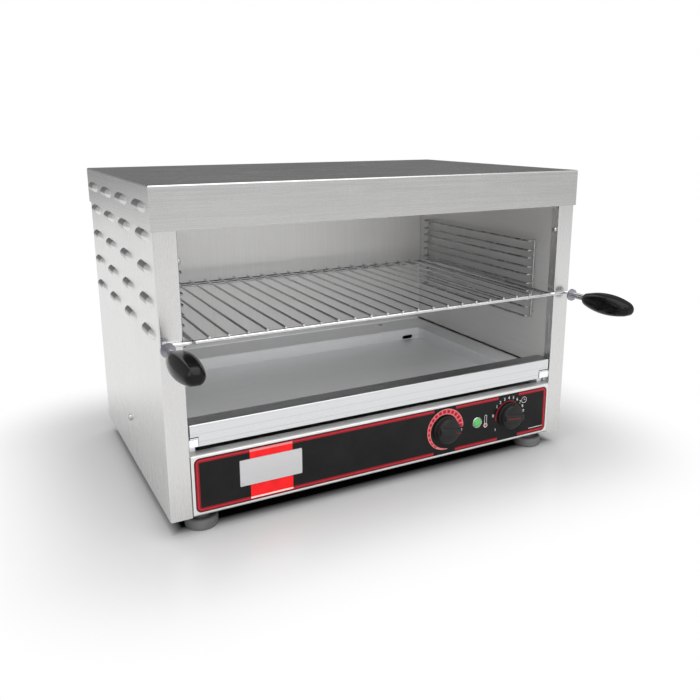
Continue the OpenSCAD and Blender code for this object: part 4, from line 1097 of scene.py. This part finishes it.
class MELTER_OT_feet(bpy.types.Operator):
    """Turn the four foot pads with a grooved side and a dished top"""

    bl_idname = "melter.feet"
    bl_label = "Feet"

    def execute(self, context):
        r = (FOOT_HIGH.x - FOOT_LOW.x) / 2
        h = FOOT_HIGH.z - FOOT_LOW.z
        side = stations(
            r, 0, (-3.4, 0), (-2.2, 0), (-1.0, 0.5), (-0.3, 1.4), (0, 2.6), (0, 4.0),
            (-0.25, 4.25), (-0.25, 4.75), (0, 5.0),
        )
        rim = stations(
            r, h, (0, -3.4), (-0.4, -1.7), (-1.4, -0.6), (-2.8, -0.1), (-4.0, 0), (-5.2, -0.25),
            (-6.0, -0.9),
        )
        boss = stations(0, h, (9.6, -1.0), (9.2, -0.1), (8.6, 0), (4.1, 0), (4.05, -7.9))
        pad = turned("foot_pad", side + rim + boss, 72)
        for end in ("front", "rear"):
            for hand in ("left", "right"):
                node, body = f"foot_{end}_{hand}", f"{end}_{hand}_foot"
                centre = middle(node)
                spot = Matrix.Translation((centre.x, centre.y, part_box(node)[0].z))
                fit(twin(pad, node + "_pad", spot), body, "foot plastic", (node,))
        scrap(pad)
        return {"FINISHED"}


# ---- Screws ----

# a screw's head lies this far off the sheet that it holds
SEAT = 0.05 * MM
STOP_HEAD = 3.2 * MM
# the back panel's four screws and the cover's three: distances from the middle, and heights
BACK_X, BACK_Z = 293 * MM, (63 * MM, 334.8 * MM)
COVER_X, COVER_Z = 240 * MM, 378.5 * MM


def pan_head(name, radius, height, shank, length):
    """A pan head screw on +Z with a cross recess; its seat is at z = 0."""
    head = turned(name, [
        (shank, -length), (shank, -0.02 * MM), (radius, -0.01 * MM), (radius, 0.25 * height),
        (radius * 0.96, 0.5 * height), (radius * 0.86, 0.76 * height), (radius * 0.68, 0.93 * height),
        (radius * 0.4, height), (radius * 0.1, height),
    ], 48)
    bars = []
    for turn in (0, QUARTER):
        bpy.ops.mesh.primitive_cube_add(
            size=1, location=(0, 0, height), rotation=(0, 0, turn),
            scale=(radius * 1.05, radius * 0.22, height),
        )
        bar = fresh("recess")
        open_mesh(bar)
        choose(bar, "FACE", lambda f: f.normal.z < -0.9)
        widen(0.5, 0.6, 1, (0, 0, height / 2))
        close_mesh()
        bars.append(bar)
    for bar in bars:
        modify(head, "BOOLEAN", object=bar, operation="DIFFERENCE", solver="EXACT")
        scrap(bar)
    return head


def set_screws(label, head, places):
    """Copies of a screw, in for the solid ones of that label; a place has a spot and a turn."""
    pieces = [twin(head, "screw", Matrix.Translation(spot) @ turn) for spot, turn in places]
    scrap(head)
    screws = weld(label + "_pan_screws", pieces)
    fit(screws, "casing", "screw steel", (label + "_screws",))


class MELTER_OT_screws(bpy.types.Operator):
    """Set the pan head screws of the sides, the back and the cavity"""

    bl_idname = "melter.screws"
    bl_label = "Screws"

    def execute(self, context):
        centre = middle("side_screws")
        head = pan_head("side_screw", 4.5 * MM, 3.4 * MM, 2.4 * MM, 8 * MM)
        set_screws("side", head, [
            ((SIDE_X + SEAT, centre.y, centre.z), TO_RIGHT),
            ((-SIDE_X - SEAT, centre.y, centre.z), TO_LEFT),
        ])

        centre = middle("stop_screws")
        head = pan_head("stop_screw", 4.0 * MM, STOP_HEAD, 1.9 * MM, 4 * MM)
        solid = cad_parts["stop_screws"].data
        inner = min(abs(v.co.x) for v in solid.vertices) + STOP_HEAD
        set_screws("stop", head, [
            ((inner, centre.y, centre.z), TO_LEFT),
            ((-inner, centre.y, centre.z), TO_RIGHT),
        ])

        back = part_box("back_panel")[1].y + SEAT
        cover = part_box("top_cover")[1].y + SEAT
        head = pan_head("back_screw", 3.5 * MM, 2.4 * MM, 1.9 * MM, 1.3 * MM)
        places = [(x, back, z) for x in (-BACK_X, BACK_X) for z in BACK_Z]
        places += [(x, cover, COVER_Z) for x in (-COVER_X, 0.0, COVER_X)]
        set_screws("back", head, [(spot, TO_BACK) for spot in places])
        return {"FINISHED"}


# ---- Panel printing ----

# how far the three layers of ink stand off the panel's face
LOW_INK, MID_INK, TOP_INK = 0.02 * MM, 0.09 * MM, 0.13 * MM
# thickness of an ink that lies on another
THIN_INK = 0.03 * MM
BORDER_RADIUS = 7 * MM
# the border stops beside each dial, this far to the left and to the right of its axis
POWER_GAP, TIMER_GAP = (19.5 * MM, 17.0 * MM), (21.0 * MM, 16.2 * MM)
# how far the block's left and right edges lie inside the badge plate's
BLOCK_LEFT, BLOCK_RIGHT = 13.4 * MM, 12.3 * MM
# the power scale: angles of its ends, radius of its rim, inner radii at its ends, and how it
# widens between them
SCALE_START, SCALE_END, SCALE_RIM = 172, 449, 30.2 * MM
SCALE_ROOT, SCALE_TIP, WIDENING = 29.9 * MM, 20.7 * MM, 0.55
# its cells: angle of the first, angle between two, number, and width as a share of the pitch
CELL_FIRST, CELL_PITCH, CELLS, CELL_SHARE = 217, 15.3, 16, 0.88
# the timer's dial: its middle off the axis, and the angles of its figures
DIAL_SHIFT = Vector((-1.8 * MM, 0, -1.2 * MM))
HOLD, ZERO, ONE, FIGURE_PITCH = 234, 281, 311, 16.5
# a letter's height in the font as a share of its size, and how much bolder it is made
FONT_SIZE, FONT_BOLD = 1.38, 0.012


def film(obj, name, thickness):
    """Gives a flat print its thickness, standing on the overlay."""
    tidy_mesh(obj)
    flat = obj.data.polygons[0].normal
    if flat.y > 0:
        obj.data.flip_normals()
    modify(obj, "SOLIDIFY", thickness=thickness, offset=1.0)
    return call(obj, name)


def ink(obj, name, finish, thickness):
    """Makes a flat shape a print on the casing's panel."""
    fit(film(obj, name, thickness), "casing", finish, angle=30)


def panel_patch(x0, x1, z0, z1, radius=0.0, lift=LOW_INK):
    """A flat rectangle on the panel, with rounded corners if a radius is given."""
    centre = ((x0 + x1) / 2, PRINT_Y - lift, (z0 + z1) / 2)
    bpy.ops.mesh.primitive_plane_add(size=1, location=centre, rotation=(QUARTER, 0, 0))
    patch = fresh("patch")
    open_whole(patch)
    widen(x1 - x0, 1, z1 - z0, centre)
    if radius:
        bpy.ops.mesh.bevel(offset=radius, segments=8, affect="VERTICES")
    close_mesh()
    return patch


def panel_frame(x0, x1, z0, z1, radius, width, gaps=(), lift=LOW_INK):
    """A line round a rounded rectangle, left out between the gaps' ends."""
    line = panel_patch(x0, x1, z0, z1, radius, lift)
    open_mesh(line)
    bpy.ops.mesh.select_mode(type="FACE")
    bpy.ops.mesh.select_all(action="SELECT")
    bpy.ops.mesh.inset(thickness=width)
    bpy.ops.mesh.delete(type="FACE")
    for left, right in gaps:
        for x in (left, right):
            bpy.ops.mesh.select_all(action="SELECT")
            bpy.ops.mesh.bisect(plane_co=(x, 0, 0), plane_no=(1, 0, 0))
        choose(line, "FACE", lambda f: left < f.calc_center_median().x < right)
        bpy.ops.mesh.delete(type="FACE")
    close_mesh()
    return line


def panel_disc(centre, radius, rim, corners, lift):
    """A flat disc on the panel, with a ring of edges inside its rim."""
    bpy.ops.mesh.primitive_circle_add(
        vertices=corners, radius=radius, fill_type="NGON",
        location=(centre.x, PRINT_Y - lift, centre.z), rotation=(QUARTER, 0, 0),
    )
    disc = fresh("disc")
    open_whole(disc)
    bpy.ops.mesh.inset(thickness=rim)
    close_mesh()
    return disc


def dial_point(centre, radius, angle):
    """A point on the panel at an angle in degrees clockwise from the top."""
    turn = math.radians(angle)
    return Vector((centre.x + radius * math.sin(turn), PRINT_Y, centre.z + radius * math.cos(turn)))


def dial_arc(centre, start, end, inner0, inner1, outer, lift, steps):
    """A band round an axis whose inner radius changes from inner0 to inner1."""
    first_in, first_out = dial_point(centre, inner0, start), dial_point(centre, outer, start)
    bpy.ops.mesh.primitive_plane_add(size=1)
    arc = fresh("arc")
    open_mesh(arc)
    choose(arc, "VERT", lambda v: v.co.y > 0)
    bpy.ops.mesh.delete(type="VERT")
    mesh = bmesh.from_edit_mesh(arc.data)
    mesh.verts.ensure_lookup_table()
    for vert, spot in zip(mesh.verts, (first_in, first_out)):
        vert.co = spot + Vector((0, -lift, 0))
    bmesh.update_edit_mesh(arc.data)
    bpy.ops.mesh.select_all(action="SELECT")
    bpy.ops.mesh.spin(
        steps=steps, angle=math.radians(end - start),
        center=(centre.x, PRINT_Y - lift, centre.z), axis=(0, -1, 0),
    )
    close_mesh()
    for vert in arc.data.vertices:
        x, z = vert.co.x - centre.x, vert.co.z - centre.z
        radius = math.hypot(x, z)
        if radius < (inner0 + outer) / 2:
            angle = math.degrees(math.atan2(x, z))
            share = ((angle - start) % 360) / (end - start)
            share = 0.0 if share > 1.05 else min(1.0, share)
            wanted = inner0 + (inner1 - inner0) * share**WIDENING
            vert.co.x = centre.x + x * wanted / radius
            vert.co.z = centre.z + z * wanted / radius
    return arc


def dial_ring(centre, inner, outer, steps):
    """A full ring round a point on the panel."""
    return dial_arc(centre, 0, 360, inner, inner, outer, LOW_INK, steps)


def dial_sign(text, height, spot):
    """A plain figure printed upright on the panel."""
    bpy.ops.object.text_add(rotation=(QUARTER, 0, 0))
    figure = bpy.context.object
    figure.data.body = text
    figure.data.size = height * FONT_SIZE
    figure.data.align_x = "CENTER"
    figure.data.align_y = "CENTER"
    figure.data.offset = height * FONT_BOLD
    take(figure)
    bpy.ops.object.convert(target="MESH")
    figure = bpy.context.object
    bpy.ops.object.transform_apply(location=True, rotation=True, scale=True)
    xs = [v.co.x for v in figure.data.vertices]
    zs = [v.co.z for v in figure.data.vertices]
    centre = Vector(((min(xs) + max(xs)) / 2, 0, (min(zs) + max(zs)) / 2))
    place(figure, Matrix.Translation(Vector((spot.x, PRINT_Y - LOW_INK, spot.z)) - centre))
    return figure


def badge_rivets():
    """Two small domed rivets in opposite corners of the badge plate."""
    aside, rise = 3.2 * MM, 3.6 * MM
    corners = (
        (BADGE_HIGH.x - aside, BADGE_HIGH.z - rise),
        (BADGE_LOW.x + aside, BADGE_LOW.z + rise),
    )
    dome = stations(0, 0, (1.0, -0.02), (1.0, 0.12), (0.8, 0.3), (0.4, 0.4), (0.1, 0.42))
    rivets = []
    for x, z in corners:
        spot = Matrix.Translation((x, BADGE_LOW.y, z)) @ TO_FRONT
        rivets.append(place(turned("rivet", dome, 24), spot))
    fit(weld("badge_rivets", rivets), "casing", "screw steel")


class MELTER_OT_border(bpy.types.Operator):
    """Print the double border line and the block behind the badge plate"""

    bl_idname = "melter.border"
    bl_label = "Border and block"

    def execute(self, context):
        printing = context.scene.melter_printing
        low, high = PANEL_LOW, PANEL_HIGH
        left, right = BADGE_LOW.x + BLOCK_LEFT, BADGE_HIGH.x - BLOCK_RIGHT
        dials = ((POWER.x, *POWER_GAP), (TIMER.x, *TIMER_GAP))
        gaps = [(x - before, x + behind) for x, before, behind in dials] + [(left, right)]
        for name, inset, width, finish, lift in (
            ("border_band", 0.9 * MM, 4.9 * MM, "dark red ink", LOW_INK),
            ("border_line", 2.4 * MM, 1.6 * MM, "red line ink", MID_INK),
        ):
            line = panel_frame(
                low.x + inset, high.x - inset, low.z + inset, high.z - inset,
                BORDER_RADIUS - inset, width, gaps, lift,
            )
            ink(line, name, finish, printing.film)
        block = panel_patch(left, right, low.z + 2.3 * MM, high.z - 2.0 * MM)
        ink(block, "badge_block", "red block ink", printing.film)
        for name, z, thick, finish in (
            ("block_edge_top", high.z - 2.0 * MM, 1.1 * MM, "dark red ink"),
            ("block_edge_low", low.z + 0.9 * MM, 1.4 * MM, "dark red ink"),
            # the pink band along the block's top is a painted highlight
            ("block_band_top", high.z - 5.2 * MM, 3.0 * MM, "pink ink"),
            ("block_band_low", low.z + 2.6 * MM, 2.2 * MM, "pale pink ink"),
        ):
            ink(panel_patch(left, right, z, z + thick, lift=MID_INK), name, finish, THIN_INK)
        badge_rivets()
        stripe = panel_patch(
            TIMER.x + 38 * MM, high.x - 5.4 * MM, low.z + 7.8 * MM, low.z + 8.8 * MM,
        )
        ink(stripe, "corner_stripe", "white ink", printing.film)
        return {"FINISHED"}


class MELTER_OT_power_scale(bpy.types.Operator):
    """Print the power knob's widening scale with its segments"""

    bl_idname = "melter.power_scale"
    bl_label = "Power scale"

    def execute(self, context):
        printing = context.scene.melter_printing
        start, end, outer = SCALE_START, SCALE_END, SCALE_RIM
        ground = dial_arc(POWER, start, end, SCALE_ROOT, SCALE_TIP, outer, LOW_INK, 96)
        ink(ground, "power_scale_ground", "pink ink", printing.film)
        cells, dots = [], []
        half = CELL_PITCH * CELL_SHARE / 2
        for i in range(CELLS):
            angle = CELL_FIRST + i * CELL_PITCH
            share = ((angle - start) / (end - start)) ** WIDENING
            inner = SCALE_ROOT + (SCALE_TIP - SCALE_ROOT) * share
            wide = outer - inner
            edge = min(0.9 * MM, wide * 0.16)
            low, high = inner + edge, outer - edge
            cells.append(dial_arc(POWER, angle - half, angle + half, low, low, high, MID_INK, 6))
            spot = dial_point(POWER, (inner + outer) / 2, angle)
            size = wide * 0.25
            dots.append(panel_disc(spot, size, size * 0.3, 20, TOP_INK))
        ink(weld("cells", cells), "power_scale_cells", "scale red ink", THIN_INK)
        ink(weld("dots", dots), "power_scale_dots", "crimson ink", 0.02 * MM)
        zero = dial_sign("0", 4.4 * MM, dial_point(POWER, 27.7 * MM, 102))
        ink(zero, "power_zero", "white ink", printing.film)
        return {"FINISHED"}


def clock_sign(x, z):
    """A round clock face with two hands."""
    half, long, short = 0.3 * MM, 3.2 * MM, 2.4 * MM
    ring = dial_ring(Vector((x, 0, z)), 4.1 * MM, 4.8 * MM, 48)
    hands = [
        panel_patch(x - half, x + half, z - half, z + long),
        panel_patch(x - half, x + short, z - half, z + half),
    ]
    return weld("clock", [ring] + hands)


def thermometer_sign(x, z, bulb):
    """The outline of a thermometer's tube and of its bulb."""
    half = 2.1 * MM
    tube = panel_frame(x - half, x + half, z - 6.0 * MM, z + 8.4 * MM, 2.0 * MM, 0.6 * MM)
    return weld("thermometer", [tube, dial_ring(bulb, 2.3 * MM, 3.3 * MM, 40)])


class MELTER_OT_timer_scale(bpy.types.Operator):
    """Print the timer's numbers, its fine arc, the clock and the thermometer"""

    bl_idname = "melter.timer_scale"
    bl_label = "Timer scale and signs"

    def execute(self, context):
        printing = context.scene.melter_printing
        dial = TIMER + DIAL_SHIFT
        figures = [("I", HOLD), ("0", ZERO)]
        figures += [(str(i), ONE + (i - 1) * FIGURE_PITCH) for i in range(1, 10)]
        signs = [
            dial_sign(text, printing.number_height, dial_point(dial, printing.number_radius, angle))
            for text, angle in figures
        ]
        ink(weld("numbers", signs), "timer_numbers", "white ink", printing.film)
        for name, ends, radii, lift, steps, finish, thickness in (
            ("timer_arc", (262, 397), (21.3, 22.6, 23.9), LOW_INK, 60, "dark red ink", printing.film),
            ("timer_arc_core", (270, 322), (22.2, 22.6, 23.5), MID_INK, 30, "crimson ink", THIN_INK),
        ):
            arc = dial_arc(dial, *ends, *(radius * MM for radius in radii), lift, steps)
            ink(arc, name, finish, thickness)

        clock = clock_sign(TIMER.x + 26.8 * MM, PANEL_HIGH.z - 13.8 * MM)
        ink(clock, "clock_sign", "white ink", printing.film)
        x, z = PILOT.x + 15.7 * MM, POWER.z
        bulb = Vector((x, 0, z - 7.6 * MM))
        ink(thermometer_sign(x, z, bulb), "thermometer_sign", "white ink", printing.film)
        drop = panel_disc(bulb, 2.0 * MM, 0.5 * MM, 32, LOW_INK)
        ink(drop, "thermometer_drop", "red line ink", printing.film)
        return {"FINISHED"}


# ---- Studio ----

FLOOR_RADIUS = 14
# the painted shadow, a dark patch of floor under the body: half width, middle and half depth
SHADE_X, SHADE_Y, SHADE_DEPTH = 0.290, 0.055, 0.176
# where the patch's edge begins and ends, off its outline
SHADE_EDGE = (-9 * MM, 8 * MM)
# distances from the patch over which the floor turns to white, and from the middle over which
# the light that it sends back fades
WHITE_SPAN, FADE_SPAN = (0.04, 0.25), (1.8, 6.5)
# the way in which the sky is darkest to reflections
SKY_AIM = (0.50, 0.85, 0.15)
# each lamp with its place, the point that it faces and its size
LAMPS = (
    ("overhead", (0.1, -0.2, 2.2), (0, 0, 0.2), (2.4, 2.4)),
    ("left", (-1.9, -0.6, 1.9), (0, 0, 0.2), (1.4, 1.4)),
    ("front", (0.6, -1.9, 1.9), (0, 0, 0.2), (1.6, 1.2)),
    ("low", (-0.2, -2.1, 0.36), (0, 0, 0.26), (2.0, 0.5)),
)


class MELTER_OT_camera(bpy.types.Operator):
    """Place the camera"""

    bl_idname = "melter.camera"
    bl_label = "Camera"

    def execute(self, context):
        studio = context.scene.melter_studio
        data = bpy.data.cameras.new("camera")
        data.lens = studio.lens
        data.sensor_width = 36
        data.shift_x = studio.shift_x
        data.shift_y = studio.shift_y
        data.clip_start = 0.01
        data.clip_end = 100
        camera = bpy.data.objects.new("camera", data)
        camera.location = studio.camera_place
        camera.rotation_euler = studio.camera_turn
        context.scene.collection.objects.link(camera)
        context.scene.camera = camera
        return {"FINISHED"}


def area_lamp(name, spot, aim, size, power):
    bpy.ops.object.light_add(type="AREA", location=spot)
    lamp = bpy.context.object
    lamp.name = name
    lamp.data.shape = "RECTANGLE"
    lamp.data.size, lamp.data.size_y = size
    lamp.data.energy = power
    lamp.rotation_euler = (Vector(aim) - Vector(spot)).to_track_quat("-Z", "Y").to_euler()
    lamp.visible_camera = False
    return lamp


def studio_sky(scene, strength):
    """White to the camera, even light on the object, and darker behind it for reflections."""
    world = bpy.data.worlds.new("studio sky")
    scene.world = world
    world.use_nodes = True
    sky = Shading(world.node_tree)
    sky.nodes.clear()
    way = sky.add("ShaderNodeTexCoord").outputs["Generated"]
    path = sky.add("ShaderNodeLightPath").outputs
    facing = sky.add("ShaderNodeVectorMath", operation="DOT_PRODUCT")
    facing.inputs[1].default_value = SKY_AIM
    sky.join(way, facing.inputs[0])
    tones = sky.ramp(
        sky.span(facing.outputs["Value"], -1, 1),
        (0.0, grey(1)), (0.55, grey(0.92)), (0.80, grey(0.42)), (0.97, grey(0.13)),
    )
    rise = sky.span(sky.apart(way)["Z"], 0.0, 0.75, 0.12 * strength, 1.35 * strength, "SMOOTHSTEP")
    even, shine, seen = (fill(sky.add("ShaderNodeBackground"), Color=WHITE) for _ in range(3))
    sky.join(rise, even.inputs["Strength"])
    sky.join(tones, shine.inputs["Color"])
    lit = sky.mix(path["Is Glossy Ray"], even.outputs[0], shine.outputs[0])
    whole = sky.mix(path["Is Camera Ray"], lit, seen.outputs[0])
    sky.join(whole, sky.add("ShaderNodeOutputWorld").inputs["Surface"])


def floor_finish(colour):
    """A glossy floor with a painted shadow under the body, that turns to plain white away from it."""
    f = Finish("studio floor")
    x, y, _ = f.apart(f.place)
    across = f.sum(f.size(x), SHADE_X, "SUBTRACT")
    deep = f.sum(f.size(f.sum(y, SHADE_Y, "SUBTRACT")), SHADE_DEPTH, "SUBTRACT")
    outside = f.span(f.sum(across, deep, "MAXIMUM"), *SHADE_EDGE)
    # painted shadow: inside the patch the floor is near black and has no shine
    f.drive(
        Base_Color=f.ramp(outside, (0.0, grey(0.004)), (1.0, colour)),
        Specular_IOR_Level=f.span(outside, 0.0, 1.0, 0.0, 0.35),
    )
    fill(f.shader, Roughness=0.28)
    squares = [f.sum(f.sum(part, 0.0, "MAXIMUM"), 2.0, "POWER") for part in (across, deep)]
    away = f.sum(f.sum(*squares), 0.5, "POWER")
    near_white = f.span(away, *WHITE_SPAN, kind="SMOOTHSTEP")
    flat = f.add("ShaderNodeVectorMath", operation="LENGTH")
    f.join(f.place, flat.inputs[0])
    fade = f.span(flat.outputs["Value"], *FADE_SPAN, 1.0, 0.35, "SMOOTHSTEP")
    path = f.add("ShaderNodeLightPath").outputs
    glow = fill(f.add("ShaderNodeEmission"), Color=WHITE)
    f.join(f.sum(path["Is Camera Ray"], fade, "MAXIMUM"), glow.inputs["Strength"])
    seen = f.sum(path["Is Camera Ray"], path["Is Glossy Ray"], "MAXIMUM")
    whole = f.mix(f.sum(seen, near_white, "MULTIPLY"), f.shader.outputs[0], glow.outputs[0])
    f.join(whole, f.nodes["Material Output"].inputs["Surface"])
    return f.material


class MELTER_OT_stage(bpy.types.Operator):
    """Lay the pale floor and set the lamps and the sky"""

    bl_idname = "melter.stage"
    bl_label = "Stage"

    def execute(self, context):
        studio = context.scene.melter_studio
        clear_bench()
        bpy.ops.mesh.primitive_circle_add(
            vertices=96, radius=FLOOR_RADIUS, fill_type="NGON", location=(0, 0, -0.05 * MM),
        )
        floor = fresh("floor")
        open_whole(floor)
        bpy.ops.mesh.inset(thickness=10)
        close_mesh()
        floor.data.materials.append(floor_finish(tuple(studio.floor)))
        studio_sky(context.scene, studio.sky)
        for key, spot, aim, size in LAMPS:
            lamp = area_lamp(key + " lamp", spot, aim, size, getattr(studio, key))
            lamp.visible_glossy = key != "low"
        return {"FINISHED"}


STEPS = (
    MELTER_OT_camera, MELTER_OT_finishes, MELTER_OT_louvres, MELTER_OT_grips, MELTER_OT_knobs,
    MELTER_OT_pilot, MELTER_OT_feet, MELTER_OT_screws, MELTER_OT_border, MELTER_OT_power_scale,
    MELTER_OT_timer_scale, MELTER_OT_stage,
)

GROUPS = (
    ("melter_steel", MelterSteel), ("melter_louvres", MelterLouvres), ("melter_grips", MelterGrips),
    ("melter_knobs", MelterKnobs), ("melter_printing", MelterPrinting), ("melter_studio", MelterStudio),
)


class MELTER_PT_panel(bpy.types.Panel):
    """Sizes, colours and steps of the cheese melter"""

    bl_idname = "MELTER_PT_panel"
    bl_label = "Cheese melter"
    bl_space_type = "VIEW_3D"
    bl_region_type = "UI"
    bl_category = "Melter"

    def draw(self, context):
        for name, group in GROUPS:
            box = self.layout.box()
            box.label(text=group.__doc__)
            for key in group.__annotations__:
                box.prop(getattr(context.scene, name), key)
        for step in STEPS:
            self.layout.operator(step.bl_idname)


CLASSES = (*(group for _, group in GROUPS), *STEPS, MELTER_PT_panel)


def register():
    for cls in CLASSES:
        bpy.utils.register_class(cls)
    for name, group in GROUPS:
        setattr(bpy.types.Scene, name, PointerProperty(type=group))


def unregister():
    for name, _ in GROUPS:
        delattr(bpy.types.Scene, name)
    for cls in reversed(CLASSES):
        bpy.utils.unregister_class(cls)


def main():
    register()
    bpy.context.scene.view_settings.view_transform = "Standard"
    for step in STEPS:
        getattr(bpy.ops.melter, step.bl_idname.split(".")[1])()
    clear_bench()


if __name__ == "__main__":
    main()
